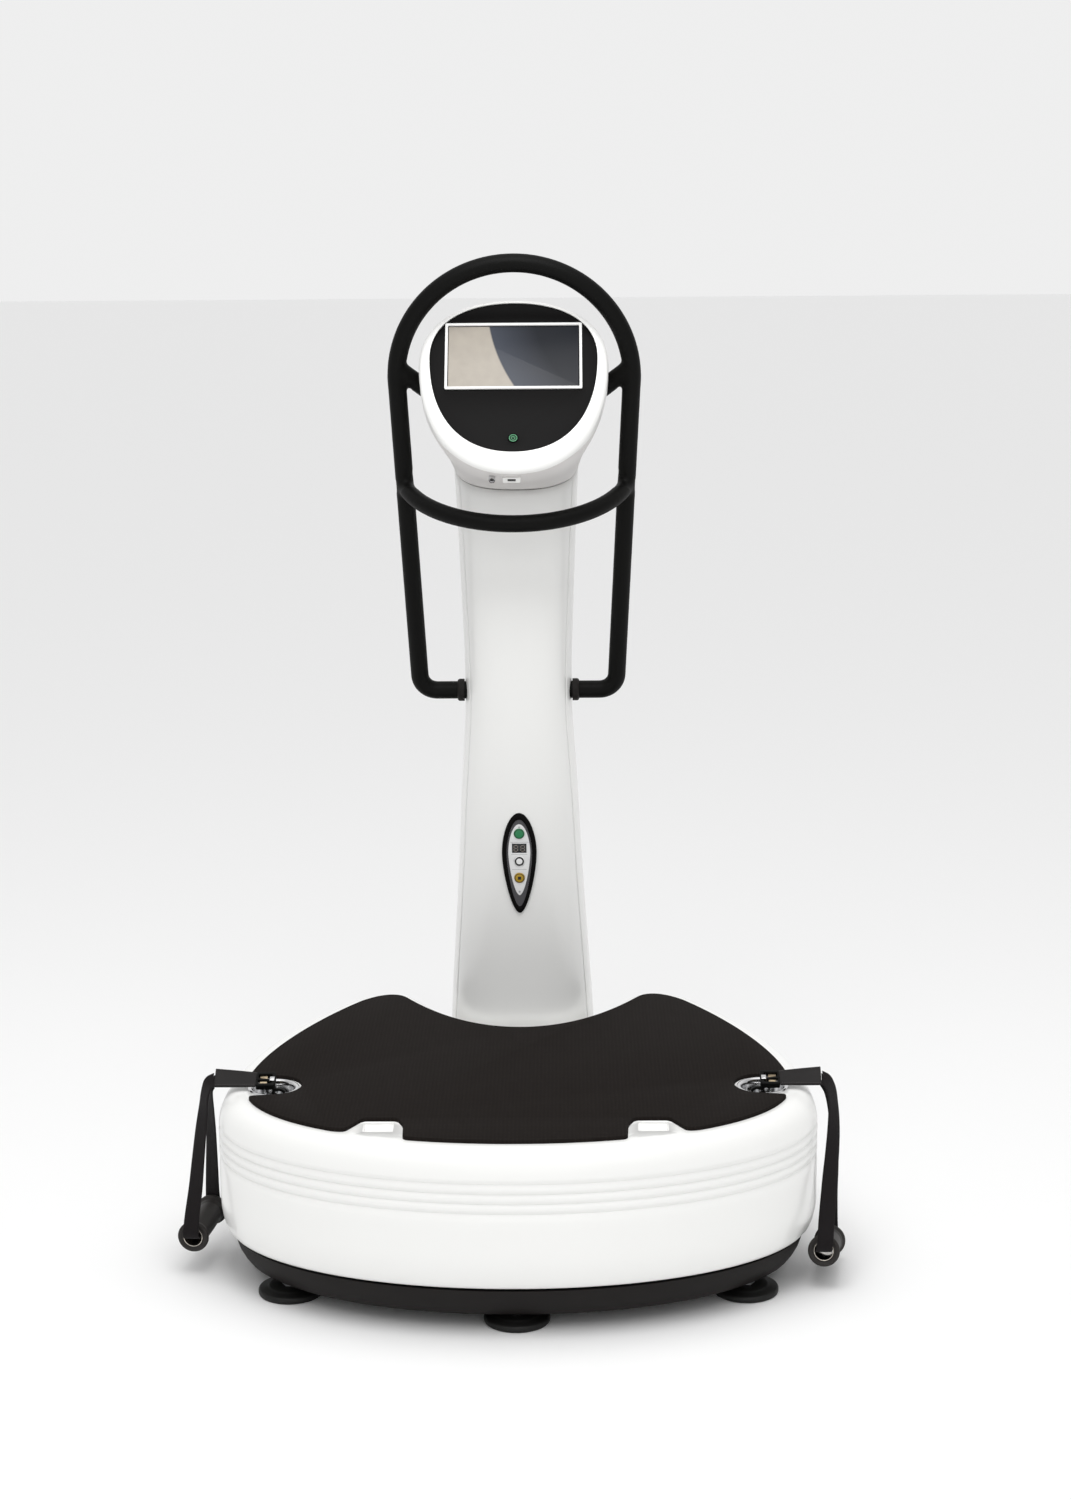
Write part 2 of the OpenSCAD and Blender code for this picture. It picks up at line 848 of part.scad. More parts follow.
function face_pt(p, w) = [
    p[0],
    face_y + sin(face_tilt) * p[1] - cos(face_tilt) * w,
    face_z + cos(face_tilt) * p[1] + sin(face_tilt) * w
];

module face_frame() {
    translate([0, face_y, face_z])
        rotate([90 - face_tilt, 0, 0])
            children();
}

// right half of a face outline from its bottom to its top
function face_half(w, top, wide, bottom, low) = concat(
    bez([0, bottom], [low, bottom], [w, wide - 86], [w, wide], 16),
    bez([w, wide], [w, wide + 0.68 * (top - wide)], [0.56 * w, top], [0, top], 16),
    [[0, top]]
);

shell_line = both_sides(face_half(console_r, console_up, 44, -console_up, console_r - 34));
plate_top = console_up - 9;
plate_bottom = 40 - console_up;
plate_line = both_sides(face_half(console_r - 17, plate_top, 50, plate_bottom, console_r - 52));
screen_y = plate_top - 37 - screen_h / 2;
power_y = plate_bottom + 24;

function shell_ring(t, w) = [
    for (i = [0:len(shell_line) - 1]) face_pt(mix(plate_line[i], shell_line[i], t), w)
];

function plate_ring(s, w) = [for (p = plate_line) face_pt(about(p, [0, 15], s), w)];

module console_front_shell() {
    color("whitesmoke")
        skin([
            shell_ring(1, shell_back), shell_ring(1, -16), shell_ring(0.93, -7), shell_ring(0.72, -1.5),
            shell_ring(0.4, 0), shell_ring(0.12, -0.6), plate_ring(1.003, -2), plate_ring(1.003, -6),
            plate_ring(0.9, -6), plate_ring(0.9, -9), shell_ring(0.45, -9), shell_ring(0.76, -12),
            shell_ring(0.82, -18), shell_ring(0.82, shell_back)
        ], wrap = true, flip = false);
}

// the column's top section, as a ring that matches the shell's outline from its front round
neck = stations[len(stations) - 1];
neck_step = 90 / 16;

function neck_ring(wall) = [for (i = [0:63]) column_pt(neck, -90 + i * neck_step, wall)];

function rear_ring(t, wall, swell) =
    let (
        s = 1 - wall / console_r,
        bottom = neck_ring(wall)
    )
    [
        for (i = [0:63])
            let (p = mix(face_pt(shell_line[i] * s, shell_back - gap), bottom[i], t))
            [p[0] * (1 + swell), p[1], p[2]]
    ];

// a socket's place on the slanted underside of the console, with its mouth towards local +Z
module socket_frame(x) {
    translate([x, face_y - 24, face_z - 153])
        rotate([180 - 15, 0, 0])
            children();
}

jack_x = -33;
usb_x = -5;

module console_rear_shell() {
    color("whitesmoke")
        difference() {
            skin([
                rear_ring(0, 0, 0), rear_ring(0.12, 0, 0.012), rear_ring(0.3, 0, 0.01), rear_ring(0.5, 0, 0),
                rear_ring(0.7, 0, -0.01), rear_ring(0.88, 0, -0.008), rear_ring(1, 0, 0),
                rear_ring(1, shell_t, 0), rear_ring(0.7, shell_t, -0.01), rear_ring(0.3, shell_t, 0.01),
                rear_ring(0, shell_t, 0)
            ], wrap = true, flip = true);
            both()
                brace(bar_r, 150);
            socket_frame(jack_x)
                cylinder(r = 5, h = 50, center = true);
            socket_frame(usb_x)
                cube([15, 8, 50], center = true);
        }
}

module audio_jack() {
    color("silver")
        socket_frame(jack_x)
            difference() {
                translate([0, 0, -14])
                    cylinder(r = 4.7, h = 20);
                translate([0, 0, -10])
                    cylinder(r = 1.8, h = 20);
            }
}

module usb_port() {
    color("silver")
        socket_frame(usb_x)
            difference() {
                translate([-7.2, -3.7, -14])
                    cube([14.4, 7.4, 20]);
                translate([-6, -2.5, -10])
                    cube([12, 5, 20]);
            }
}

module console_bracket() {
    color("slategray")
        difference() {
            translate([-bracket_w / 2, -20, face_z - 110])
                cube([bracket_w, mast_y - mast_d / 2 + 20 - gap, 100]);
            translate([4 - bracket_w / 2, -16, face_z - 106])
                cube([bracket_w - 8, 200, 120]);
        }
}

module faceplate() {
    color("#141414")
        face_frame()
            translate([0, 0, -5.8])
                difference() {
                    linear_extrude(4)
                        polygon(plate_line);
                    translate([-screen_w / 2 + 5, screen_y - screen_h / 2 + 5, -1])
                        cube([screen_w - 10, screen_h - 10, 6]);
                    translate([0, power_y, -1])
                        cylinder(r = 7.5 + gap, h = 6);
                }
}

module screen_frame() {
    color("white")
        face_frame()
            translate([-screen_w / 2, screen_y - screen_h / 2, -1.7])
                difference() {
                    cube([screen_w, screen_h, 2.6]);
                    translate([5.5, 5.5, -1])
                        cube([screen_w - 11, screen_h - 11, 5]);
                }
}

module screen_glass() {
    color("#2c3038")
        face_frame()
            translate([5.3 - screen_w / 2, screen_y - screen_h / 2 + 5.3, -5.5])
                cube([screen_w - 10.6, screen_h - 10.6, 3.6]);
}

module display_module() {
    color("#50545a")
        face_frame()
            translate([20 - screen_w / 2, screen_y - screen_h / 2 + 10, -18])
                cube([screen_w - 40, screen_h - 26, 12]);
}

module power_button() {
    color("#1e7d4c")
        face_frame()
            translate([0, power_y, -9.5])
                cylinder(r = 7.5, h = 8.7);
}

// ---- remote panel ----

label_w = 36;
label_h = 122;
label_y = 6;
start_y = 51;
digits_y = 26;
repeat_y = 4;
stop_y = -25;
label_screw_places = [label_y + label_h / 2 - 5, label_y - label_h / 2 + 6];
digits_w = 23.6;
digits_h = 15.4;

module button_hole(y, h) {
    translate([0, y, -1])
        cylinder(d = button_d + 2 * gap, h = h);
}

module remote_bezel() {
    color("#121212")
        panel_frame()
            difference() {
                translate([0, 0, -10])
                    linear_extrude(14)
                        polygon(leaf(panel_w / 2, panel_h / 2));
                translate([0, 0, -11])
                    linear_extrude(20)
                        polygon(leaf(panel_w / 2 - 7.5, panel_h / 2 - 11));
            }
}

module remote_inset() {
    color("#4a494c")
        panel_frame()
            translate([0, 0, -4])
                difference() {
                    linear_extrude(6)
                        polygon(leaf(panel_w / 2 - 7.5 - 0.2, panel_h / 2 - 11.2));
                    for (y = [start_y, repeat_y, stop_y])
                        button_hole(y, 10);
                    translate([-digits_w / 2 - 0.2, digits_y - digits_h / 2 - 0.2, -1])
                        cube([digits_w + 0.4, digits_h + 0.4, 10]);
                    for (y = label_screw_places)
                        translate([0, y, 1])
                            cylinder(r = 0.9, h = 10);
                }
}

module remote_label() {
    color("white")
        panel_frame()
            translate([0, 0, 2])
                difference() {
                    linear_extrude(0.8)
                        translate([0, label_y])
                            polygon(leaf(label_w / 2, label_h / 2));
                    for (y = [start_y, repeat_y, stop_y])
                        button_hole(y, 10);
                    translate([-digits_w / 2 - 0.2, digits_y - digits_h / 2 - 0.2, -1])
                        cube([digits_w + 0.4, digits_h + 0.4, 10]);
                    for (y = label_screw_places)
                        translate([0, y, -1])
                            cylinder(r = 0.9, h = 10);
                }
}

// the console's board, and the panel's board with a switch behind each button
module circuit_boards() {
    color("seagreen") {
        face_frame()
            translate([-60, power_y - 20, -14])
                cube([120, 60, 1.6]);
        panel_frame() {
            translate([-14, -40, -9.4])
                cube([28, 98, 1.6]);
            for (y = [start_y, repeat_y, stop_y])
                translate([0, y, -7.8])
                    cylinder(r = 3, h = 1.6);
        }
    }
}

// the screws of the column's rear cover and of the panel's label
module small_screws() {
    color("silver") {
        for (p = cover_screw_places)
            rear_frame(p[0], p[1]) {
                translate([0, 0, -14])
                    cylinder(d = 5, h = 15);
                translate([0, 0, 0.5])
                    cylinder(d = 10, h = 2.5);
            }
        panel_frame()
            for (y = label_screw_places)
                translate([0, y, 0.5]) {
                    cylinder(r = 0.8, h = 2.6);
                    translate([0, 0, 2.35])
                        cylinder(r = 1.6, h = 0.6);
                }
    }
}

// two seven-bar digits stand a little proud of the display's window
module digit_display() {
    color("#101214")
        panel_frame()
            translate([0, digits_y, 0]) {
                translate([-digits_w / 2, -digits_h / 2, -5])
                    cube([digits_w, digits_h, 8]);
                for (x = [-5.6, 5.6]) {
                    for (y = [-5, 0, 5])
                        translate([x - 2.3, y - 0.5, 2.8])
                            cube([4.6, 1, 0.4]);
                    for (dx = [-3.1, 3.1], y = [-2.5, 2.5])
                        translate([x + dx - 0.5, y - 1.8, 2.8])
                            cube([1, 3.6, 0.4]);
                }
            }
}

module panel_button(y) {
    panel_frame()
        translate([0, y, -3.8]) {
            cylinder(d = button_d, h = 7.8);
            translate([0, 0, 7.7])
                cylinder(d1 = button_d - 1, d2 = button_d - 3, h = 0.8);
        }
}

module start_button() {
    color("#1e7d4c")
        panel_button(start_y);
}

module repeat_button() {
    color("white")
        panel_button(repeat_y);
}

module stop_button() {
    color("#a8861e")
        panel_button(stop_y);
}

// ---- strap handles: the hardware is mirrored, and each web hangs in its own way ----

hook_t = 7;
hook_in = 8.5;
hook_out = 12.5;
sleeve_x = anchor_x + 35;
sleeve_end = half_w + 5;
sleeve_z = deck_z + 14;
sleeve_t = 5;
sleeve_w = 34;
sleeve_roll = 38; // how far the sleeve's outer end has turned forward

module wedge(from, to, r) {
    polygon([[0, 0], [r * cos(from), r * sin(from)], [r * cos((from + to) / 2), r * sin((from + to) / 2)],
        [r * cos(to), r * sin(to)]]);
}

module anchor_frame() {
    translate([anchor_x, cup_y, anchor_z])
        rotate([90, 0, 0])
            children();
}

// the hook rings the anchor bar and its shank passes over the cup's lip to the sleeve
module hook() {
    color("#202020")
        anchor_frame()
            linear_extrude(hook_t, center = true)
                difference() {
                    union() {
                        circle(r = hook_out);
                        polygon([[4, 8], [8, 8], [18, 19], [34.4, 23.5], [34.4, 28], [14, 26], [3, 11]]);
                    }
                    circle(r = hook_in);
                    wedge(148, 232, 30);
                }
}

module hook_gate() {
    color("silver")
        anchor_frame()
            linear_extrude(hook_t - 2, center = true)
                intersection() {
                    difference() {
                        circle(r = hook_out - 0.7);
                        circle(r = hook_in + 0.7);
                    }
                    wedge(153, 219, 30);
                }
}

module hook_right() {
    hook();
}

module hook_left() {
    mirror([1, 0, 0])
        hook();
}

module hook_gate_right() {
    hook_gate();
}

module hook_gate_left() {
    mirror([1, 0, 0])
        hook_gate();
}

// a flat sleeve that twists forward as it runs out over the rim
module sleeve() {
    color("#2b2829")
        hull() {
            translate([sleeve_x, cup_y, sleeve_z])
                rotate([20, 0, 0])
                    cube([1, sleeve_w, sleeve_t], center = true);
            translate([sleeve_end, cup_y, sleeve_z + 3])
                rotate([sleeve_roll, 0, 0])
                    cube([1, sleeve_w, sleeve_t], center = true);
        }
}

module sleeve_right() {
    sleeve();
}

module sleeve_left() {
    mirror([1, 0, 0])
        sleeve();
}

web_t = 2.2;
// each web's route in its own side's terms: down from the sleeve, through the grip and back up
right_route = [
    [473, -247, 309], [481, -251, 302], [487, -256, 287], [489, -265, 260], [488, -277, 231], [485, -291, 201],
    [481, -306, 171], [477, -323, 140], [473, -341, 110], [470, -359, 84], [468, -355, 67], [473, -325, 59],
    [479, -294, 51], [484, -265, 44], [489, -238, 37], [491, -224, 42], [491, -221, 60], [491, -223, 85],
    [491, -230, 115], [492, -237, 150], [492, -240, 190], [491, -243, 228], [487, -244, 262], [480, -244, 290],
    [472, -243, 304]
];
left_route = [
    [473, -247, 309], [481, -252, 302], [486, -257, 287], [489, -263, 260], [493, -271, 225], [497, -279, 185],
    [501, -287, 145], [506, -296, 108], [508, -301, 88], [509, -302, 75], [508, -293, 66], [504, -266, 66],
    [500, -235, 66], [496, -205, 66], [492, -176, 66], [491, -167, 73], [491, -167, 86], [490, -175, 108],
    [488, -186, 145], [486, -197, 185], [484, -208, 225], [482, -221, 260], [480, -232, 284], [477, -239, 297],
    [472, -243, 304]
];
web_mouth = 10; // the point of a route where the web enters the grip
web_exit = 14; // and where it leaves it

// the web's width lies along Y at the sleeve and across the bore inside the grip
function web_turn(i) =
    i < web_mouth ? i / web_mouth
    : i > web_exit ? (len(right_route) - 1 - i) / (len(right_route) - 1 - web_exit)
    : 1;

function web_ring(route, i) =
    let (
        t = web_turn(i) == 0 ? [i == 0 ? 1 : -1, 0, 0] : tangent(route, i),
        a = 90 * web_turn(i),
        across = [sin(a), cos(a) * cos(sleeve_roll), cos(a) * sin(sleeve_roll)],
        u = unit(across - (across * t) * t) * web_w / 2,
        v = unit(cross(t, u)) * web_t / 2,
        p = route[i]
    )
    [p + u, p + 0.96 * u + v, p + v, p - 0.96 * u + v, p - u, p - 0.96 * u - v, p - v, p + 0.96 * u - v];

module web(route) {
    color("#1a1718")
        skin([for (i = [0:len(route) - 1]) web_ring(route, i)]);
}

grip_tube_r = grip_bore / 2 + 1.4;
grip_flange_r = grip_flange_d / 2;

// stands on the near end of a route's run through its grip, with +Z along the run
module grip_frame(route) {
    way = unit(route[web_exit] - route[web_mouth]);
    translate(route[web_mouth] + 3 * way)
        rotate([0, acos(way[2]), atan2(way[1], way[0])])
            children();
}

// a waisted rubber handle with a rounded flange at each end
module grip(route) {
    end = grip_l / 2;
    side = [
        [grip_tube_r + run, end], [grip_flange_r - 2.5, end], [grip_flange_r, end - 2.5], [grip_flange_r, end - 4.5],
        [grip_flange_r - 4, end - 9], [grip_tube_r + 3.2, end - 18]
    ];
    color("#33302e")
        grip_frame(route)
            translate([0, 0, end])
                rotate_extrude()
                    polygon(concat(side, [[grip_tube_r + 4, 0]], [
                        for (i = [len(side) - 1:-1:0]) [side[i][0], -side[i][1]]
                    ]));
}

module grip_tube(route) {
    color("silver")
        grip_frame(route)
            difference() {
                translate([0, 0, 0.5])
                    cylinder(r = grip_tube_r, h = grip_l - 1);
                translate([0, 0, -1])
                    cylinder(r = grip_bore / 2, h = grip_l + 2);
            }
}

module grip_right() {
    grip(right_route);
}

module grip_left() {
    mirror([1, 0, 0])
        grip(left_route);
}

module grip_tube_right() {
    grip_tube(right_route);
}

module grip_tube_left() {
    mirror([1, 0, 0])
        grip_tube(left_route);
}

module strap_web_right() {
    web(right_route);
}

module strap_web_left() {
    mirror([1, 0, 0])
        web(left_route);
}

base_frame();
base_tray();
base_cover();
foot_pads();
foot_studs();
foot_nuts();
mast();
mast_bolts();
isolators();
platform_plate();
platform_shroud();
mat_underlay();
platform_mat();
lift_pockets();
strap_cups();
strap_anchors();
motor_housings();
motor_bearings();
rotor_left();
rotor_right();
column_front_cover();
column_rear_cover();
small_screws();
motor_controller();
mains_inlet();
mains_rocker();
handlebar_loop();
handlebar_crossbar();
handlebar_braces();
handlebar_collars();
console_bracket();
console_rear_shell();
console_front_shell();
faceplate();
screen_frame();
screen_glass();
display_module();
circuit_boards();
power_button();
audio_jack();
usb_port();
remote_bezel();
remote_inset();
remote_label();
digit_display();
start_button();
repeat_button();
stop_button();
hook_left();
hook_right();
hook_gate_left();
hook_gate_right();
sleeve_left();
sleeve_right();
strap_web_left();
strap_web_right();
grip_left();
grip_right();
grip_tube_left();
grip_tube_right();
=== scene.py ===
"""Looks of a whole-body vibration plate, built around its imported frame.

Metres, +Z up, the user stands at -Y. Each sub-assembly is a class whose fields are its sizes.
"""

import logging
import math
from dataclasses import dataclass
from enum import Enum
from typing import Callable, Iterable, Sequence

import bmesh
import bpy
from mathutils import Matrix, Vector


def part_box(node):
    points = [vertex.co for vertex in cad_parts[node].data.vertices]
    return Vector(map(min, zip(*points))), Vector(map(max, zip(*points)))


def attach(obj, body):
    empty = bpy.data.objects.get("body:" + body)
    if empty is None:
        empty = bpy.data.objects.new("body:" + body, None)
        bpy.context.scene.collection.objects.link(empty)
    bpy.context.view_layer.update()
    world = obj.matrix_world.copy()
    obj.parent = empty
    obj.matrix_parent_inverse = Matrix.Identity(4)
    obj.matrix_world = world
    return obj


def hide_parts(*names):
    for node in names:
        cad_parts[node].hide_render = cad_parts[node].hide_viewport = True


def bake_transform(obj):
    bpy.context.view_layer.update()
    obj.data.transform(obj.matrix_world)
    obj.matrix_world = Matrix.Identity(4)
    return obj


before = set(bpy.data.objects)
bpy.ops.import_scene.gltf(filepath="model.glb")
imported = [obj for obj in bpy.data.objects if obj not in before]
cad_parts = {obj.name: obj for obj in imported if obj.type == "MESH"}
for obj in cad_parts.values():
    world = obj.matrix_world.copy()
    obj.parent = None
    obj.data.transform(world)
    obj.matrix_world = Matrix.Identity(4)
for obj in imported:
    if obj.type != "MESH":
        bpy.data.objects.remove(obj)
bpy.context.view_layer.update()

LOG = logging.getLogger("vibration_plate")
MM = 0.001
SMOOTH_ANGLE = math.radians(38)

Ring = list[Vector]


class Side(Enum):
    """The machine's two sides, as the sign of x."""

    LEFT = -1
    RIGHT = 1

    @property
    def word(self) -> str:
        """The side's name as the frame's nodes spell it."""
        return self.name.lower()


# ---- colour and nodes ----


def linear(hex_colour: str) -> tuple[float, float, float, float]:
    """Turns an sRGB hex colour to the linear values that shaders use.

    Args:
        hex_colour: Six hex digits after a hash.

    Returns:
        Linear red, green, blue and an alpha of one.
    """
    parts = [int(hex_colour[i : i + 2], 16) / 255 for i in (1, 3, 5)]
    red, green, blue = (
        c / 12.92 if c <= 0.04045 else ((c + 0.055) / 1.055) ** 2.4 for c in parts
    )
    return red, green, blue, 1.0


def shade(hex_colour: str, factor: float) -> tuple[float, float, float, float]:
    """A colour made lighter or darker by a factor, in linear light."""
    red, green, blue, alpha = linear(hex_colour)
    return min(red * factor, 1), min(green * factor, 1), min(blue * factor, 1), alpha


def add(
    tree: bpy.types.NodeTree,
    kind: str,
    settings: dict[str | int, object] | None = None,
    links: dict[str | int, object] | None = None,
) -> bpy.types.Node:
    """Adds a node with its settings and links.

    Args:
        tree: The node tree that gets it.
        kind: The node's type name.
        settings: Values for the node's own settings (words) or its input sockets.
        links: Input socket to the node, or (node, output name), that feeds it.

    Returns:
        The new node.
    """
    node = tree.nodes.new(kind)
    for key, value in (settings or {}).items():
        if isinstance(key, str) and key.islower() and hasattr(node, key):
            setattr(node, key, value)
        else:
            node.inputs[key].default_value = value
    for key, source in (links or {}).items():
        giver, output = source if isinstance(source, tuple) else (source, 0)
        tree.links.new(giver.outputs[output], node.inputs[key])
    return node


# ---- finishes ----


@dataclass(frozen=True)
class Finish:
    """A surface: a base colour with a slight mottle, and a fine grain in its relief."""

    name: str
    colour: str
    roughness: float
    metallic: float = 0.0
    specular: float = 0.5
    mottle: float = 0.03
    mottle_mm: float = 60.0
    grain_mm: float = 1.2
    relief_mm: float = 0.02
    coat: float = 0.0
    coat_roughness: float = 0.1
    sheen: float = 0.0

    def material(self) -> bpy.types.Material:
        """Makes the material once and gives the same one after that."""
        made = bpy.data.materials.get(self.name)
        if made:
            return made
        made = bpy.data.materials.new(self.name)
        made.use_nodes = True
        made.diffuse_color = linear(self.colour)
        tree = made.node_tree
        tree.nodes.clear()
        coords = (add(tree, "ShaderNodeTexCoord"), "Object")
        shader = add(
            tree,
            "ShaderNodeBsdfPrincipled",
            {
                "Roughness": self.roughness,
                "Metallic": self.metallic,
                "Coat Weight": self.coat,
                "Coat Roughness": self.coat_roughness,
                "Sheen Weight": self.sheen,
                "Specular IOR Level": self.specular,
            },
        )
        colour, height = self.pattern(tree, coords)
        tree.links.new(colour[0].outputs[colour[1]], shader.inputs["Base Color"])
        bump = add(
            tree,
            "ShaderNodeBump",
            {"Strength": 1.0, "Distance": self.relief_mm * MM},
            {"Height": height},
        )
        tree.links.new(bump.outputs[0], shader.inputs["Normal"])
        add(tree, "ShaderNodeOutputMaterial", None, {"Surface": shader})
        return made

    def mottled(self, tree: bpy.types.NodeTree, coords: tuple) -> tuple:
        """Cloudy drift between two close shades of the base colour."""
        cloud = add(
            tree,
            "ShaderNodeTexNoise",
            {"Scale": 1000 / self.mottle_mm, "Detail": 3.0},
            {"Vector": coords},
        )
        mix = add(
            tree,
            "ShaderNodeMix",
            {
                "data_type": "RGBA",
                6: shade(self.colour, 1 - self.mottle),
                7: shade(self.colour, 1 + self.mottle),
            },
            {0: cloud},
        )
        return mix, 2

    def pattern(self, tree: bpy.types.NodeTree, coords: tuple) -> tuple:
        """The colour and height of the surface.

        Args:
            tree: The material's node tree.
            coords: The coordinates' node and output.

        Returns:
            The colour's node and output, and the height's node and output.
        """
        grain = add(
            tree,
            "ShaderNodeTexNoise",
            {"Scale": 1000 / self.grain_mm, "Detail": 2.0},
            {"Vector": coords},
        )
        return self.mottled(tree, coords), (grain, 0)


@dataclass(frozen=True)
class WovenFinish(Finish):
    """Threads over and under each other, seen as a fine check with a lighter fleck."""

    thread_mm: float = 2.4
    fleck: float = 0.35

    def pattern(self, tree: bpy.types.NodeTree, coords: tuple) -> tuple:
        """Two crossed sets of bands, and a fleck where threads stand high."""
        bands = [
            add(
                tree,
                "ShaderNodeTexWave",
                {
                    "wave_type": "BANDS",
                    "bands_direction": direction,
                    "Scale": 1000 / self.thread_mm / 20 * math.tau / 2,
                    "Distortion": 0.6,
                    "Detail": 1.0,
                },
                {"Vector": coords},
            )
            for direction in ("X", "Y")
        ]
        check = add(
            tree,
            "ShaderNodeMath",
            {"operation": "MULTIPLY"},
            {0: (bands[0], 1), 1: (bands[1], 1)},
        )
        fleck = add(
            tree,
            "ShaderNodeMix",
            {
                "data_type": "RGBA",
                6: shade(self.colour, 1 - self.fleck),
                7: shade(self.colour, 1 + self.fleck),
            },
            {0: check},
        )
        cloud = self.mottled(tree, coords)
        colour = add(
            tree,
            "ShaderNodeMix",
            {"data_type": "RGBA", 0: 0.5},
            {6: (fleck, 2), 7: cloud},
        )
        return (colour, 2), (check, 0)


@dataclass(frozen=True)
class RibbedFinish(Finish):
    """Webbing: narrow cords side by side along the strap, read from its own UV map."""

    rib_mm: float = 1.8
    width_mm: float = 25.0

    def pattern(self, tree: bpy.types.NodeTree, coords: tuple) -> tuple:
        """Ribs across the strap's width crossed by the weft."""
        uv = (add(tree, "ShaderNodeUVMap", {"uv_map": "strap"}), 0)
        ribs = add(
            tree,
            "ShaderNodeTexWave",
            {"wave_type": "BANDS", "bands_direction": "X", "Scale": 2.5, "Distortion": 0.3},
            {"Vector": uv},
        )
        weft = add(
            tree,
            "ShaderNodeTexWave",
            {"wave_type": "BANDS", "bands_direction": "DIAGONAL", "Scale": 4.0},
            {"Vector": uv},
        )
        height = add(
            tree,
            "ShaderNodeMath",
            {"operation": "MULTIPLY_ADD", 1: 0.5},
            {0: (weft, 1), 2: (ribs, 1)},
        )
        colour = add(
            tree,
            "ShaderNodeMix",
            {
                "data_type": "RGBA",
                6: shade(self.colour, 0.65),
                7: shade(self.colour, 1.5),
            },
            {0: height},
        )
        return (colour, 2), (height, 0)


@dataclass(frozen=True)
class StandbyScreen(Finish):
    """Display glass whose colour is a painted reflection: a pale field that ends in a curve on a dark one.
    """

    # the dark field of the painted reflection, lighter towards its curved edge
    dark: str = "#2C2F36"
    centre: tuple[float, float, float] = (0.0, 0.0, 0.0)
    radius: float = 0.3

    def pattern(self, tree: bpy.types.NodeTree, coords: tuple) -> tuple:
        """The painted reflection's pale field lies outside a large circle whose centre is right of the
        screen.
        """
        offset = add(
            tree,
            "ShaderNodeVectorMath",
            {"operation": "DISTANCE", 1: self.centre},
            {0: coords},
        )
        edge = add(
            tree,
            "ShaderNodeMapRange",
            {
                "From Min": self.radius - 0.0012,
                "From Max": self.radius + 0.0012,
                "To Min": 0.0,
                "To Max": 1.0,
            },
            {"Value": (offset, 1)},
        )
        pale = self.mottled(tree, coords)
        depth = add(
            tree,
            "ShaderNodeMapRange",
            {
                "From Min": self.radius - 0.07,
                "From Max": self.radius - 0.005,
                "To Min": 0.0,
                "To Max": 1.0,
            },
            {"Value": (offset, 1)},
        )
        deep = add(
            tree,
            "ShaderNodeMix",
            {"data_type": "RGBA", 6: shade(self.dark, 0.55), 7: shade(self.dark, 2.0)},
            {0: depth},
        )
        colour = add(
            tree, "ShaderNodeMix", {"data_type": "RGBA"}, {0: edge, 6: (deep, 2), 7: pale}
        )
        return (colour, 2), (offset, 1)


# Gloss-painted moulded ABS: clean white with soft wide highlights
WHITE_SHELL = Finish("moulded_abs_gloss_white", "#F3F3F1", 0.32, mottle=0.008, mottle_mm=200,
                     grain_mm=3.0, relief_mm=0.006, coat=0.35, coat_roughness=0.12)
# Moulded ABS of the rear shell: the shell's white made a shade greyer and satin, as painted shade of the
# underside under the console
WHITE_SHELL_PAINTED_SHADE = Finish("moulded_abs_satin_grey_white", "#DCD9D7", 0.45, mottle=0.01, grain_mm=1.5,
                    relief_mm=0.01)
# Vacuum-formed black ABS with a leather-like grain: dull, slightly brown
SKIRT = Finish("formed_abs_grained_black", "#181514", 0.62, specular=0.22, mottle=0.08, grain_mm=1.4,
               relief_mm=0.06)
# Powder-coated steel tube: satin black with an orange-peel skin
TUBE_PAINT = Finish("powder_coated_steel_black", "#0B0B0A", 0.5, specular=0.1, mottle=0.06, grain_mm=1.6,
                    relief_mm=0.03)
# Woven-face rubber mat: near-black brown with a faint check; threads drawn at 3 mm to show
MAT = WovenFinish("woven_rubber_mat_black_brown", "#1D1917", 0.9, specular=0.1, mottle=0.12,
                  mottle_mm=25, relief_mm=0.2, thread_mm=3.0, fleck=0.3)
# Acrylic sheet with a satin face: deep even black
FACE_ACRYLIC = Finish("printed_acrylic_satin_black", "#0B0A0A", 0.4, specular=0.06, mottle=0.05,
                      grain_mm=2.0, relief_mm=0.004)
# Chromed steel pressing: bright, with faint rings of polish
CHROME = Finish("chromed_steel_polished", "#D9D9DA", 0.12, metallic=1.0, mottle=0.05,
                mottle_mm=8, grain_mm=0.8, relief_mm=0.006)
# Zinc-plated steel: light grey with a dull sparkle
ZINC = Finish("zinc_plated_steel_dull", "#B9BBBD", 0.38, metallic=1.0, mottle=0.08,
              mottle_mm=4, grain_mm=0.6, relief_mm=0.01)
# Yellow-passivated steel: pale gold
GOLD_PLATE = Finish("passivated_steel_pale_gold", "#C9B79A", 0.35, metallic=1.0, mottle=0.08,
                    mottle_mm=5, grain_mm=0.6, relief_mm=0.01)
# Painted cast iron: even grey with a sandy skin
MOTOR_PAINT = Finish("painted_cast_iron_grey", "#5C6066", 0.6, mottle=0.08, grain_mm=2.2,
                     relief_mm=0.12)
# Primed steel plate: flat grey
PRIMED_STEEL = Finish("primed_steel_plate_grey", "#5A5D61", 0.7, mottle=0.07, grain_mm=1.0,
                      relief_mm=0.04)
# Powder-coated steel frame: dark and dull
FRAME_PAINT = Finish("powder_coated_frame_black", "#232324", 0.6, mottle=0.08, grain_mm=1.5,
                     relief_mm=0.04)
# Moulded rubber: soft black with a bloom
RUBBER = Finish("moulded_rubber_black", "#151514", 0.5, specular=0.3, mottle=0.12, grain_mm=1.0,
                relief_mm=0.03)
# Foam-filled rubber grip: charcoal with a fine pebbled skin
GRIP_RUBBER = Finish("moulded_grip_rubber_charcoal", "#262321", 0.6, specular=0.3, mottle=0.12,
                     mottle_mm=15, grain_mm=1.1, relief_mm=0.08, sheen=0.05)
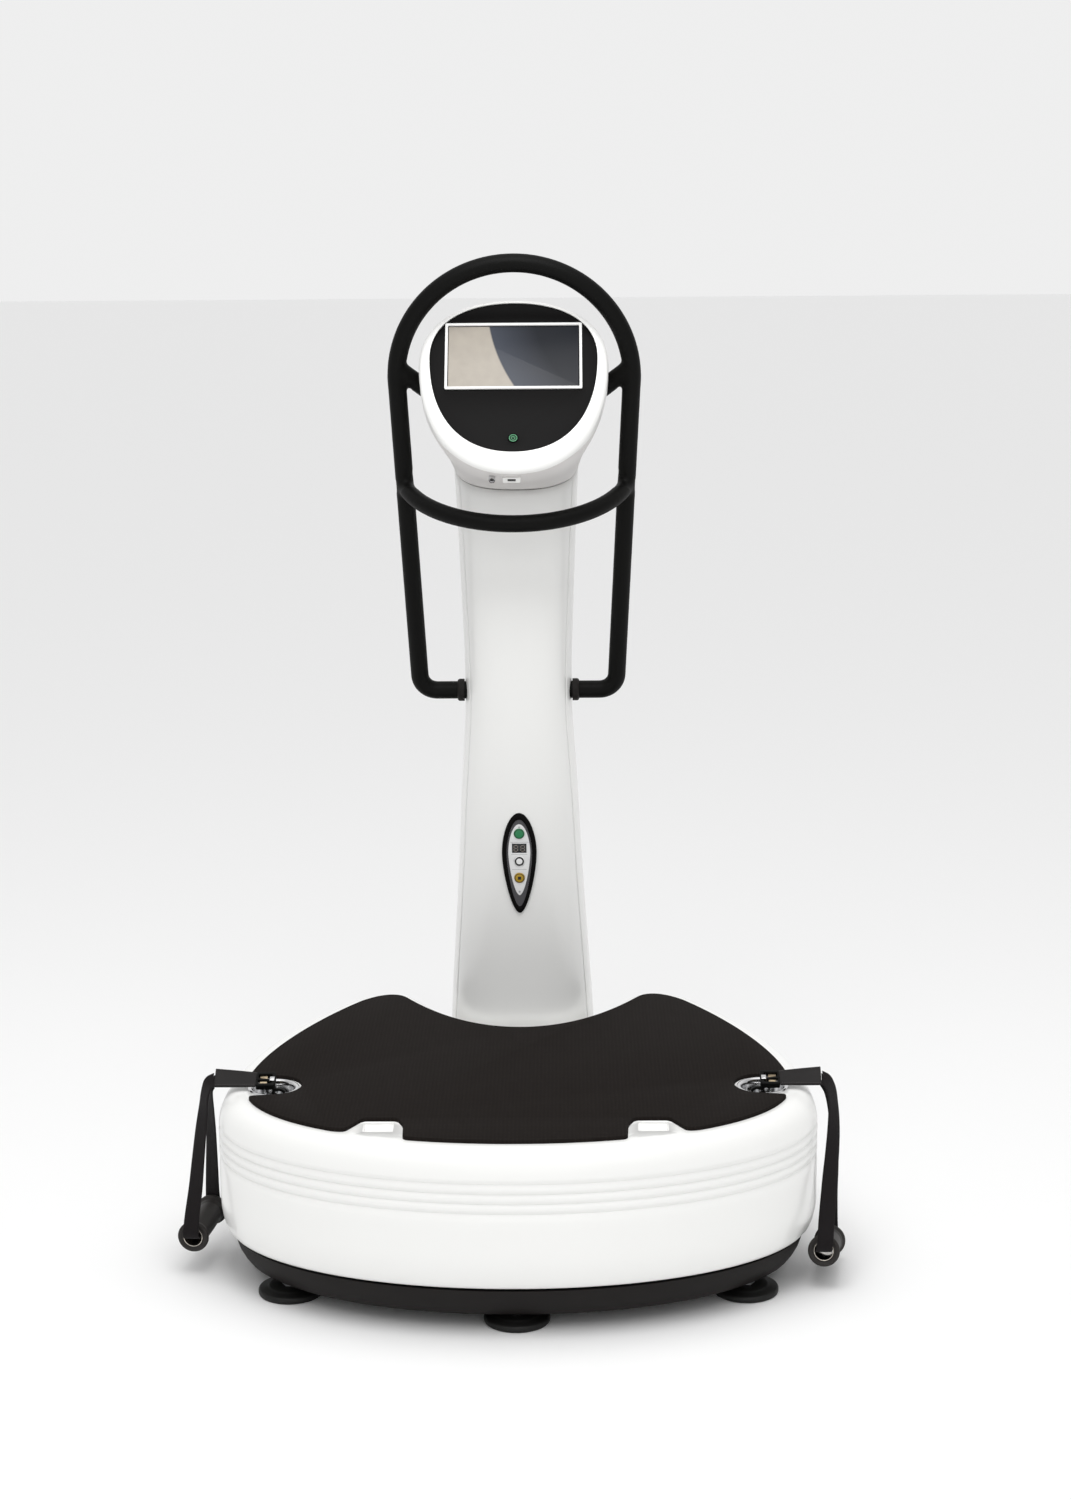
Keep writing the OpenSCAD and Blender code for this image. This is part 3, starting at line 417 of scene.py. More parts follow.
# Coated leather: black with creases
LEATHER = Finish("coated_leather_black", "#181515", 0.5, specular=0.22, mottle=0.15, mottle_mm=12,
                 grain_mm=1.6, relief_mm=0.12)
# Polyester thread: dark grey, a little lighter than the leather
THREAD = Finish("polyester_thread_grey", "#4A4646", 0.8, mottle=0.1, grain_mm=0.5,
                relief_mm=0.05)
# Woven polyester webbing: black with ribs along it
WEBBING = RibbedFinish("woven_polyester_webbing_black", "#151213", 0.85, specular=0.15,
                       relief_mm=0.15, sheen=0.05)
# Brushed aluminium tube end: bright and warm inside
BRIGHT_TUBE = Finish("polished_aluminium_tube", "#C9C2B8", 0.22, metallic=1.0, mottle=0.1,
                     mottle_mm=6, grain_mm=0.7, relief_mm=0.02)
# Panel plastics: satin ABS in plain colours
PANEL_GREY = Finish("moulded_abs_satin_grey", "#4A494C", 0.5, mottle=0.05, relief_mm=0.01)
LABEL_FILM = Finish("polyester_film_label_white", "#E6E6E6", 0.4, mottle=0.01, relief_mm=0.003)
LINE_INK = Finish("screen_ink_grey", "#8E8E90", 0.5, mottle=0.04, relief_mm=0.003)
KEY_GREEN = Finish("moulded_key_green", "#1F7D4C", 0.38, mottle=0.05, relief_mm=0.005)
KEY_WHITE = Finish("moulded_key_white", "#EDEDED", 0.38, mottle=0.02, relief_mm=0.005)
KEY_AMBER = Finish("moulded_key_amber", "#B08D1C", 0.38, mottle=0.05, relief_mm=0.005)
KEY_RED = Finish("moulded_key_red", "#A02020", 0.35, mottle=0.05, relief_mm=0.005)
INK_BLACK = Finish("screen_ink_black", "#161616", 0.5, mottle=0.05, relief_mm=0.003)
SMOKED = Finish("smoked_acrylic_window", "#17191C", 0.2, mottle=0.04, relief_mm=0.002)
DIGIT = Finish("unlit_digit_grey", "#8E8278", 0.4, mottle=0.03, relief_mm=0.002)
BOARD = Finish("solder_mask_green", "#2F6B4A", 0.5, mottle=0.08, mottle_mm=6, relief_mm=0.02)
SCREEN_TRIM = Finish("moulded_abs_frame_white", "#F0F0EE", 0.35, mottle=0.01, relief_mm=0.004)

CARRIED_FINISHES: dict[str, Finish] = {
    "base_frame": FRAME_PAINT, "base_cover": SKIRT, "foot_studs": ZINC, "foot_nuts": ZINC,
    "mast": FRAME_PAINT, "mast_bolts": ZINC, "isolators": RUBBER,
    "platform_plate": PRIMED_STEEL, "mat_underlay": RUBBER, "lift_pockets": WHITE_SHELL,
    "strap_anchors": ZINC, "motor_housings": MOTOR_PAINT, "motor_bearings": ZINC,
    "rotor_left": ZINC, "rotor_right": ZINC, "small_screws": ZINC,
    "motor_controller": PRIMED_STEEL, "mains_inlet": SKIRT, "mains_rocker": KEY_RED,
    "console_bracket": PRIMED_STEEL, "display_module": PRIMED_STEEL,
    "circuit_boards": BOARD, "audio_jack": CHROME, "usb_port": CHROME,
    "remote_inset": PANEL_GREY, "hook_left": TUBE_PAINT, "hook_right": TUBE_PAINT,
    "hook_gate_left": CHROME, "hook_gate_right": CHROME,
}


# ---- shapes ----


def bezier(a: Sequence[float], b: Sequence[float], c: Sequence[float], d: Sequence[float],
           count: int) -> list[Vector]:
    """Points along a cubic curve, without its last.

    Args:
        a: Start.
        b: First handle.
        c: Second handle.
        d: End.
        count: How many points.

    Returns:
        The points.
    """
    a, b, c, d = (Vector(p) for p in (a, b, c, d))
    made = []
    for i in range(count):
        t = i / count
        s = 1 - t
        made.append(a * s**3 + b * (3 * s * s * t) + c * (3 * s * t * t) + d * t**3)
    return made


def both_sides(half: list[Vector]) -> list[Vector]:
    """Closes a right half, listed from x = 0 to x = 0, with its mirror image."""
    return half + [Vector((-p.x, p.y)) for p in half[-2:0:-1]]


def outline(parts: Iterable[tuple], last: tuple[float, float], finer: int = 3) -> list[Vector]:
    """A closed outline from the cubic curves of its right half.

    Args:
        parts: Four points and a count for each curve.
        last: The right half's last point, on x = 0.
        finer: How many times finer than the counts the curves are drawn.

    Returns:
        The outline's points.
    """
    half = [p for a, b, c, d, n in parts for p in bezier(a, b, c, d, n * finer)]
    return both_sides(half + [Vector(last)])


def about(p: Vector, centre: Vector, scale: float) -> Vector:
    """A point moved towards or away from a centre."""
    return centre + (p - centre) * scale


def unit_normals(line: list[Vector]) -> list[Vector]:
    """Outward normals of a closed outline drawn anticlockwise."""
    made = []
    for i, _ in enumerate(line):
        way = (line[(i + 1) % len(line)] - line[i - 1]).normalized()
        made.append(Vector((way.y, -way.x)))
    return made


def smooth_lookup(table: Sequence[Sequence[float]], at: float) -> list[float]:
    """Reads a table of rows (place, values...) along a smooth curve through its rows.

    Args:
        table: Rows sorted by their first value.
        at: The place to read.

    Returns:
        The values there.
    """
    k = 0
    while k < len(table) - 2 and at > table[k + 1][0]:
        k += 1
    rows = [table[max(k - 1, 0)], table[k], table[k + 1], table[min(k + 2, len(table) - 1)]]
    span = rows[2][0] - rows[1][0]
    t = (at - rows[1][0]) / span
    made = []
    for j in range(1, len(rows[1])):
        slopes = []
        for low, high in ((rows[0], rows[2]), (rows[1], rows[3])):
            slopes.append((high[j] - low[j]) / (high[0] - low[0]) * span)
        p, q = rows[1][j], rows[2][j]
        made.append(
            p * (2 * t**3 - 3 * t**2 + 1) + slopes[0] * (t**3 - 2 * t**2 + t)
            + q * (3 * t**2 - 2 * t**3) + slopes[1] * (t**3 - t**2)
        )
    return made


def new_ring(bm: bmesh.types.BMesh, ring: Ring, closed: bool = True) -> list:
    """Adds a loop of vertices and edges.

    Args:
        bm: The mesh being made.
        ring: Places.
        closed: Whether the last joins the first.

    Returns:
        The vertices.
    """
    verts = [bm.verts.new(p) for p in ring]
    for i in range(len(verts) if closed else len(verts) - 1):
        bm.edges.new((verts[i], verts[(i + 1) % len(verts)]))
    return verts


def sweep(bm: bmesh.types.BMesh, rings: list[Ring], closed: bool = True,
          cap: bool = False) -> list[list]:
    """Extrudes a loop of edges through rings of places.

    Args:
        bm: The mesh being made.
        rings: Rings of one length.
        closed: Whether each ring is a closed loop.
        cap: Whether both ends are filled.

    Returns:
        The vertices of each ring.
    """
    current = new_ring(bm, rings[0], closed)
    made = [current]
    for ring in rings[1:]:
        count = len(current) if closed else len(current) - 1
        edges = [bm.edges.get((current[i], current[(i + 1) % len(current)])) for i in range(count)]
        fresh = {
            g for g in bmesh.ops.extrude_edge_only(bm, edges=edges)["geom"]
            if isinstance(g, bmesh.types.BMVert)
        }
        current = [
            next(e.other_vert(v) for e in v.link_edges if e.other_vert(v) in fresh)
            for v in current
        ]
        for vert, place in zip(current, ring):
            vert.co = place
        made.append(current)
    if cap:
        for verts in (made[0], made[-1]):
            bmesh.ops.contextual_create(
                bm,
                geom=[bm.edges.get((verts[i], verts[(i + 1) % len(verts)]))
                      for i in range(len(verts))],
            )
    return made


def spun(profile: Sequence[tuple[float, float]], place: Matrix, steps: int = 64,
         closed: bool = False) -> bmesh.types.BMesh:
    """Turns a profile of (radius, height) round +Z and places it.

    Args:
        profile: Points from one end to the other.
        place: Where the turned shape goes.
        steps: Facets round the turn.
        closed: Whether the profile's last point joins its first.

    Returns:
        The mesh.
    """
    bm = bmesh.new()
    verts = new_ring(bm, [Vector((r, 0, z)) for r, z in profile], closed)
    bmesh.ops.spin(
        bm, geom=verts + list(bm.edges), cent=(0, 0, 0), axis=(0, 0, 1), angle=math.tau,
        steps=steps, use_merge=True,
    )
    bmesh.ops.remove_doubles(bm, verts=bm.verts, dist=0.00002)
    bmesh.ops.transform(bm, matrix=place, verts=bm.verts)
    return bm


def slab(loops: list[list[Vector]], low: float, high: float, place: Callable[[float, float, float], Vector],
         round_corners: Sequence[int] = (), corner: float = 0.0, edge: float = 0.0) -> bmesh.types.BMesh:
    """A flat plate with holes, extruded between two heights and softened along its edges.

    Args:
        loops: The outline and then any holes, as flat points.
        low: Height of its back.
        high: Height of its face.
        place: Turns flat x, y and height to a place.
        round_corners: Points of the outline whose corners are rounded.
        corner: How far along the outline a rounded corner reaches.
        edge: Width of the bevel round the face.

    Returns:
        The mesh.
    """
    bm = bmesh.new()
    for loop in loops:
        new_ring(bm, [Vector((p[0], p[1], 0)) for p in loop])
    if len(loops) == 1:
        face = bmesh.ops.contextual_create(bm, geom=list(bm.edges))["faces"]
        if round_corners:
            bm.verts.ensure_lookup_table()
            bmesh.ops.bevel(
                bm, geom=[bm.verts[i] for i in round_corners], offset=corner, segments=6,
                profile=0.5, affect="VERTICES", material=-1,
            )
    else:
        bmesh.ops.triangle_fill(bm, edges=list(bm.edges), use_beauty=True, use_dissolve=False)
    faces = list(bm.faces)
    bmesh.ops.recalc_face_normals(bm, faces=faces)
    if faces[0].normal.z < 0:
        bmesh.ops.reverse_faces(bm, faces=faces)
    top = bmesh.ops.extrude_face_region(bm, geom=faces, use_keep_orig=True)["geom"]
    raised = [g for g in top if isinstance(g, bmesh.types.BMVert)]
    bmesh.ops.translate(bm, vec=(0, 0, high - low), verts=raised)
    bmesh.ops.recalc_face_normals(bm, faces=list(bm.faces))
    if edge:
        rim = [
            e for e in bm.edges
            if len(e.link_faces) == 2 and e.calc_face_angle(0) > 1.0
            and min(v.co.z for v in e.verts) > (high - low) / 2
        ]
        bmesh.ops.bevel(bm, geom=rim, offset=edge, segments=3, profile=0.5, affect="EDGES",
                        material=-1)
    for vert in bm.verts:
        vert.co = place(vert.co.x, vert.co.y, vert.co.z + low)
    return bm


def merge(bm: bmesh.types.BMesh, other: bmesh.types.BMesh) -> None:
    """Moves another mesh's faces into a mesh and frees the other."""
    passing = bpy.data.meshes.new("passing")
    other.to_mesh(passing)
    other.free()
    bm.from_mesh(passing)
    bpy.data.meshes.remove(passing)


def circle(radius: float, centre: tuple[float, float] = (0, 0), count: int = 48) -> list[Vector]:
    """Flat points round a circle."""
    return [
        Vector((centre[0] + radius * math.cos(math.tau * i / count),
                centre[1] + radius * math.sin(math.tau * i / count)))
        for i in range(count)
    ]


def rounded_box(width: float, height: float, radius: float,
                centre: tuple[float, float] = (0, 0), count: int = 6) -> list[Vector]:
    """Flat points round a rectangle with rounded corners.

    Args:
        width: Width.
        height: Height.
        radius: Corner radius.
        centre: Its middle.
        count: Points a corner.

    Returns:
        The points, anticlockwise.
    """
    made = []
    for k, (sx, sy) in enumerate(((1, 1), (-1, 1), (-1, -1), (1, -1))):
        for i in range(count + 1):
            a = math.pi / 2 * (k + i / count)
            made.append(Vector((
                centre[0] + sx * (width / 2 - radius) + radius * math.cos(a),
                centre[1] + sy * (height / 2 - radius) + radius * math.sin(a),
            )))
    return made


def finished(name: str, bm: bmesh.types.BMesh, finish: Finish, body: str,
             replaces: Sequence[str] = (), angle: float = SMOOTH_ANGLE,
             heart: Vector | None = None) -> bpy.types.Object:
    """Makes a piece of a mesh, dresses it and ties it to the frame.

    Args:
        name: The piece's name.
        bm: Its mesh, which is freed.
        finish: Its finish.
        body: The body that it rides on, or nothing if it rides on none.
        replaces: CAD nodes that it stands for.
        angle: Edges sharper than this stay sharp.
        heart: A place inside an open skin, from which its faces are turned away.

    Returns:
        The object.
    """
    bmesh.ops.remove_doubles(bm, verts=bm.verts, dist=0.000005)
    faces = list(bm.faces)
    bmesh.ops.recalc_face_normals(bm, faces=faces)
    if heart and sum(
        f.normal.dot(f.calc_center_median() - heart) * f.calc_area() for f in faces
    ) < 0:
        bmesh.ops.reverse_faces(bm, faces=faces)
    mesh = bpy.data.meshes.new(name)
    bm.to_mesh(mesh)
    bm.free()
    mesh.polygons.foreach_set("use_smooth", [True] * len(mesh.polygons))
    mesh.set_sharp_from_angle(angle=angle)
    mesh.materials.append(finish.material())
    obj = bpy.data.objects.new(name, mesh)
    bpy.context.scene.collection.objects.link(obj)
    if body:
        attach(obj, body)
    if replaces:
        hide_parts(*replaces)
    LOG.info("%s: %d faces", name, len(mesh.polygons))
    return obj


def thicken(obj: bpy.types.Object, thickness: float) -> None:
    """Gives a skin its wall, inwards."""
    wall = obj.modifiers.new("wall", "SOLIDIFY")
    wall.thickness = thickness
    wall.offset = -1.0


def arc_rise(steps: int, power: float = 2.4) -> list[tuple[float, float]]:
    """Points (across, up) of a rounded quarter section, from (1, 0) to (0, 1).

    Args:
        steps: How many steps.
        power: How full the corner is; 2 is a circle.

    Returns:
        The points.
    """
    made = []
    for i in range(steps + 1):
        a = math.pi / 2 * i / steps
        made.append((math.cos(a) ** (2 / power), math.sin(a) ** (2 / power)))
    return made


# ---- platform ----


@dataclass
class Platform:
    """The moving deck: shroud, mat, cups and lift pockets."""

    half_w: float
    front: float
    deck_z: float
    bottom: float
    wide: float = 0.250
    lobe_y: float = 0.245
    notch_y: float = 0.066
    rim_w: float = 0.038
    rim_roll: float = 0.056
    wall_bottom: float = 0.046
    mat_t: float = 0.006
    cup_inset: float = 0.085
    cup_r: float = 0.040
    cup_depth: float = 0.030
    pocket_x: float = 0.205
    pocket_w: float = 0.046
    pocket_l: float = 0.038
    groove_heights: tuple[float, ...] = (0.199, 0.214, 0.229, 0.244)
    groove_depth: float = 0.0026
    groove_w: float = 0.0095

    def __post_init__(self) -> None:
        """Works the outlines out from the sizes."""
        w, f, wide = self.half_w, self.front, -self.wide
        mat_x, mat_y = w - 0.040, -(f - self.rim_w)
        self.cup = Vector((w - self.cup_inset, 0.005 + wide))
        self.rim_line = outline((
            ((0, -f), (w * 0.55, -f), (w, 0.125 - f), (w, wide), 18),
            ((w, wide), (w, 0.150 + wide), (w - 0.065, 0.110), (w - 0.165, 0.250), 10),
            ((w - 0.165, 0.250), (w - 0.203, 0.302), (0.205, 0.310), (0.172, self.lobe_y), 8),
            ((0.172, self.lobe_y), (0.130, 0.160), (0.075, self.notch_y), (0, self.notch_y), 10),
        ), (0, self.notch_y))
        self.mat_line = outline((
            ((0, mat_y), (w - 0.235, mat_y), (mat_x, -0.400), (mat_x, wide + 0.015), 18),
            ((mat_x, wide + 0.015), (mat_x, 0.140 + wide), (w - 0.110, 0.070), (w - 0.190, 0.190), 10),
            ((w - 0.190, 0.190), (w - 0.220, 0.228), (0.215, 0.238), (0.196, 0.205), 8),
            ((0.196, 0.205), (0.145, 0.115), (0.080, 0.042), (0, 0.042), 10),
        ), (0, 0.042))
        self.rim_out = unit_normals(self.rim_line)

    def groove(self, z: float, y: float) -> float:
        """How deep the front's grooves cut at a height, fading out behind the cups."""
        reach = min(max((-0.10 - y) / 0.12, 0), 1)
        cut = 0.0
        for height in self.groove_heights:
            off = abs(z - height) / (self.groove_w / 2)
            if off < 1:
                cut += self.groove_depth * (1 + math.cos(math.pi * off)) / 2
        return cut * reach

    def rim_ring(self, t: float, z: float) -> Ring:
        """A ring between the mat's line (0) and the outer wall (1)."""
        ring = []
        for mat, rim, out in zip(self.mat_line, self.rim_line, self.rim_out):
            p = mat.lerp(rim, t) - out * self.groove(z, rim.y)
            ring.append(Vector((p.x, p.y, z)))
        return ring

    def pocket_box(self, side: int) -> list[Vector]:
        """The lift pocket's opening in the deck."""
        middle = self.cup.y - 0.160 - self.pocket_l / 2
        return rounded_box(self.pocket_w, self.pocket_l, 0.003, (side * self.pocket_x, middle))

    def build_shroud(self) -> None:
        """The white shroud: a rolled rim over a grooved wall, and a deck with four holes."""
        bm = bmesh.new()
        top = self.deck_z - self.rim_roll
        rings = [self.rim_ring(t, self.bottom + h) for t, h in (
            (0.58, 0.004), (0.62, 0.0), (0.70, 0.001), (0.80, 0.006), (0.88, 0.014), (0.94, 0.024),
            (0.985, 0.036))]
        z = self.bottom + self.wall_bottom
        while z < top:
            rings.append(self.rim_ring(1.0, z))
            z += 0.0022 if z > 0.188 else 0.012
        rings += [self.rim_ring(t, top + self.rim_roll * h) for t, h in arc_rise(22)]
        sweep(bm, rings)
        skin = [f for f in bm.faces]
        holes = [circle(self.cup_r - 0.0035, (s * self.cup.x, self.cup.y)) for s in (-1, 1)]
        holes += [self.pocket_box(s) for s in (-1, 1)]
        deck = bmesh.new()
        for loop in [self.mat_line, *holes]:
            new_ring(deck, [Vector((p.x, p.y, self.deck_z)) for p in loop])
        bmesh.ops.triangle_fill(deck, edges=list(deck.edges), use_beauty=True, use_dissolve=False)
        bmesh.ops.recalc_face_normals(deck, faces=list(deck.faces))
        merge(bm, deck)
        shroud = finished("platform_shroud_skin", bm, WHITE_SHELL, "platform",
                          ["platform_shroud"],
                          heart=Vector((0, -0.18, self.bottom)))
        thicken(shroud, 0.003)
        LOG.info("shroud skin of %d faces round the wall", len(skin))

    def mat_outline(self) -> tuple[list[Vector], list[int]]:
        """The mat's outline, cut in round the cups and the lift pockets.

        Returns:
            The points, and which of them are corners to round.
        """
        cut_r = self.cup_r + 0.004
        pocket_y = self.cup.y - 0.160
        x0, x1 = self.pocket_x - self.pocket_w / 2, self.pocket_x + self.pocket_w / 2
        half, corners = [], []
        count = len(self.mat_line) // 2 + 1
        stage = 0
        for p in (about(q, Vector((0, -0.18)), 0.997) for q in self.mat_line[:count]):
            if stage == 0 and p.x > x0 - 0.016:
                edge_y = p.y
                for corner in ((x0 - 0.016, edge_y), (x0 - 0.014, pocket_y - 0.020),
                               (x0 - 0.004, pocket_y + 0.007), (x1 + 0.002, pocket_y + 0.007),
                               (x1 + 0.026, pocket_y - 0.038)):
                    corners.append(len(half))
                    half.append(Vector(corner))
                stage = 1
            if stage == 1 and p.x < x1 + 0.040:
                continue
            if stage == 1:
                stage = 2
                corners.append(len(half))
            if stage == 2 and p.y > self.cup.y - cut_r - 0.002:
                corners.append(len(half) - 1)
                for i in range(17):
                    a = -math.pi / 2 - math.pi * i / 16
                    half.append(self.cup + Vector((math.cos(a), math.sin(a))) * cut_r)
                stage = 3
            if stage == 3 and p.y < self.cup.y + cut_r + 0.004:
                continue
            if stage == 3:
                stage = 4
                corners.append(len(half))
            half.append(p)
        whole = both_sides(half)
        mirrored = [len(whole) - i for i in corners if i]
        return whole, corners + mirrored

    def build_mat(self) -> None:
        """The woven mat, with softened edges."""
        line, corners = self.mat_outline()
        bm = slab([line], self.deck_z, self.deck_z + self.mat_t,
                  lambda x, y, z: Vector((x, y, z)), corners, 0.007, 0.0016)
        finished("platform_mat_woven", bm, MAT, "platform", ["platform_mat"])

    def build_cups(self) -> None:
        """Each chrome cup: a rolled flange and a dished floor, with a wall on the outside."""
        r, d = self.cup_r, self.cup_depth
        inner = [(0, 3 * MM - d), (r - 18 * MM, 3 * MM - d), (r - 14 * MM, 6 * MM - d),
                 (r - 10 * MM, 12 * MM - d), (r - 8 * MM, -6 * MM), (r - 7 * MM, -1 * MM),
                 (r - 6 * MM, 1.2 * MM), (r - 4 * MM, 2.5 * MM), (r - 2 * MM, 2.6 * MM),
                 (r - 0.4 * MM, 1.8 * MM), (r, 0.6 * MM), (r, 0)]
        outer = [(r - 4.2 * MM, 0), (r - 7.2 * MM, 10 * MM - d), (r - 16 * MM, -d), (0, -d)]
        bm = bmesh.new()
        for side in Side:
            place = Matrix.Translation((side.value * self.cup.x, self.cup.y, self.deck_z))
            merge(bm, spun(inner + outer, place))
        finished("strap_cups_chromed", bm, CHROME, "platform", ["strap_cups"])

    def build(self) -> None:
        """Builds the platform's visible pieces."""
        self.build_shroud()
        self.build_mat()
        self.build_cups()


# ---- base ----


@dataclass
class Base:
    """The black skirt and the levelling feet."""

    platform: Platform
    tray_z: float
    tray_top: float
    tail_w: float = 0.168
    back: float = 0.535
    foot_r: float = 0.050
    pad_t: float = 0.014

    def tray_line(self) -> list[Vector]:
        """The skirt's outline, under the platform and out behind it."""
        w, f, wide = self.platform.half_w, self.platform.front, -self.platform.wide
        t, b = self.tail_w, self.back
        return outline((
            ((0, 0.020 - f), (w * 0.55 - 0.010, 0.020 - f), (w - 0.020, 0.135 - f), (w - 0.020, wide), 18),
            ((w - 0.020, wide), (w - 0.020, 0.150 + wide), (w - 0.085, 0.110), (w - 0.185, 0.235), 10),
            ((w - 0.185, 0.235), (w - 0.225, 0.285), (t + 0.005, 0.270), (t, 0.335), 8),
            ((t, 0.335), (t, b), (t, b), (t - 0.080, b), 10),
        ), (0, b))

    def build_skirt(self) -> None:
        """The tray: a rounded lower edge, a flared wall and a lip turned in."""
        line, centre = self.tray_line(), Vector((0, -0.020))
        low, top = self.tray_z, self.tray_top
        sections = [(0.90, low + 0.004), (0.905, low), (0.925, low), (0.945, low + 0.003),
                    (0.962, low + 0.009), (0.975, low + 0.018), (0.988, low + 0.030),
                    (0.996, low + 0.042), (1.0, top - 0.001), (0.998, top), (0.988, top),
                    (0.985, top - 0.002), (0.975, low + 0.030), (0.945, low + 0.012)]
        rings = []
        for scale, z in sections:
            ring = [about(p, centre, scale) for p in line]
            rings.append([Vector((p.x, p.y, z)) for p in ring])
        bm = bmesh.new()
        sweep(bm, rings, cap=True)
        finished("base_skirt", bm, SKIRT, "base", ["base_tray"])

    def build_feet(self) -> None:
        """Round pads with a stepped top, one under each stud."""
        w = self.platform.half_w
        side_x = 0.350 * w / 0.465
        places = [(0, -self.platform.front + 0.080), (side_x, -0.349), (-side_x, -0.349),
                  (self.tail_w - 0.058, self.back - 0.085), (0.058 - self.tail_w, self.back - 0.085)]
        r, t = self.foot_r, self.pad_t
        profile = [(0, 0), (r - 4 * MM, 0), (r - 1 * MM, 0.8 * MM), (r, 3 * MM), (r, 7 * MM),
                   (r - 1 * MM, 9.2 * MM), (r - 3 * MM, 10.4 * MM), (r - 13 * MM, 11 * MM),
                   (r - 16 * MM, t - 0.6 * MM), (r - 17 * MM, t), (0, t)]
        bm = bmesh.new()
        for x, y in places:
            merge(bm, spun(profile, Matrix.Translation((x, y, 0))))
        finished("foot_pads_moulded", bm, RUBBER, "base", ["foot_pads"])

    def build_isolators(self) -> None:
        """Four rubber bellows between the frame and the plate."""
        low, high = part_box("isolators")
        r, tall = 0.030, high.z - low.z
        profile = [(0, 0), (r, 0), (r, 0.008), (r - 0.006, 0.016), (r, 0.024),
                   (r - 0.006, 0.032), (r, tall - 0.008), (r, tall), (0, tall)]
        bm = bmesh.new()
        for x, y in ((high.x - r, low.y + r), (0.215, high.y - r)):
            for side in Side:
                merge(bm, spun(profile, Matrix.Translation((side.value * x, y, low.z)), 40))
        bellows = finished("isolator_bellows", bm, RUBBER, "", ["isolators"])
        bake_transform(bellows)

    def build(self) -> None:
        """Builds the skirt, the feet and the isolators."""
        self.build_skirt()
        self.build_feet()
        self.build_isolators()


# ---- column ----


@dataclass
class Column:
    """The two white covers that wrap the mast."""

    top: float = 1.194
    seam_inset: float = 0.010
    fullness: float = 2.6
    wall: float = 0.003
    rows: int = 70

    def stations(self) -> tuple[tuple[float, ...], ...]:
        """Rows of height, half width, front, rear and how far the section rises rearwards."""
        return (
            (0.073, 0.163, 0.101, 0.532, 0), (0.108, 0.150, 0.100, 0.522, 0),
            (0.150, 0.136, 0.098, 0.500, 0), (0.200, 0.126, 0.090, 0.470, 0),
            (0.300, 0.120, 0.080, 0.410, 0), (0.390, 0.114, 0.076, 0.374, 0),
            (0.480, 0.108, 0.070, 0.342, 0), (0.570, 0.1025, 0.064, 0.318, 0),
            (0.660, 0.098, 0.057, 0.298, 0), (0.740, 0.093, 0.051, 0.282, 0),
            (0.820, 0.088, 0.045, 0.267, 0), (0.910, 0.088, 0.039, 0.251, 0),
            (1.000, 0.091, 0.032, 0.236, 0), (1.100, 0.095, 0.025, 0.219, 0.15),
            (self.top, 0.100, 0.018, 0.204, 0.4),
        )

    def section(self, z: float) -> list[float]:
        """Half width, front, rear and rise at a height."""
        return smooth_lookup(self.stations(), z)

    def point(self, z: float, angle: float, drop: float = 0.0) -> Vector:
        """A place on the column's surface.

        Args:
            z: Height at the front.
            angle: Turn round the section, with the front at -90 degrees.
            drop: How far the point is lowered.

        Returns:
            The place.
        """
        half, front, rear, rise = self.section(z)
        c, s = math.cos(angle), math.sin(angle)
        x = half * math.copysign(abs(c) ** (2 / self.fullness), c)
        y = (front + rear) / 2 + (rear - front) / 2 * math.copysign(abs(s) ** (2 / self.fullness), s)
        return Vector((x, y, z + rise * (y - front) - drop))

    def seam(self, z: float) -> float:
        """The angle from the side at which the seam lies."""
        half = self.section(z)[0]
        return math.acos(((half - self.seam_inset) / half) ** (self.fullness / 2))

    def strip(self, front: bool) -> bmesh.types.BMesh:
        """One cover's skin between the seams.

        Args:
            front: True for the front cover.

        Returns:
            The mesh.
        """
        bm = bmesh.new()
        low = self.stations()[0][0]
        gap = math.radians(0.45)
        rings = []
        count = 60 if front else 90
        for k in range(self.rows + 1):
            z = low + (self.top - low) * k / self.rows
            a = self.seam(z)
            begin, end = (math.tau - a - gap, math.pi + a + gap) if front else (
                math.pi + a - gap, -a + gap)
            drop = 0.001 * k / self.rows
            rings.append([self.point(z, begin + (end - begin) * i / count, drop)
                          for i in range(count + 1)])
        sweep(bm, rings, closed=False)
        return bm

    def build(self) -> None:
        """Builds both covers; the rear one is open behind the mains inlet."""
        heart = Vector((0, 0.2, self.top / 2))
        cover = finished("column_front_skin", self.strip(True), WHITE_SHELL, "base",
                         ["column_front_cover"], heart=heart)
        thicken(cover, self.wall)
        bm = self.strip(False)
        low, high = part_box("mains_inlet")
        inside = [
            f for f in bm.faces
            if all(low.x < v.co.x < high.x and low.z < v.co.z < high.z and v.co.y > low.y
                   for v in f.verts)
        ]
        bmesh.ops.delete(bm, geom=inside, context="FACES")
        rear = finished("column_rear_skin", bm, WHITE_SHELL, "base",
                        ["column_rear_cover"], heart=heart)
        thicken(rear, self.wall)
        self.build_flange(low, high)

    def build_flange(self, low: Vector, high: Vector) -> None:
        """A flat surround that covers the joint between the inlet and the rear cover."""
        middle = (low + high) / 2
        size = (high.x - low.x, high.z - low.z)
        loops = [rounded_box(size[0] + 0.016, size[1] + 0.014, 0.004),
                 rounded_box(size[0] - 0.001, size[1] - 0.001, 0.001)]
        bm = slab(loops, -0.012, 0.0035,
                  lambda x, y, z: Vector((middle.x - x, high.y + z - 0.001, middle.z + y)),
                  edge=0.0008)
        finished("inlet_surround", bm, SKIRT, "base")


# ---- handlebar ----


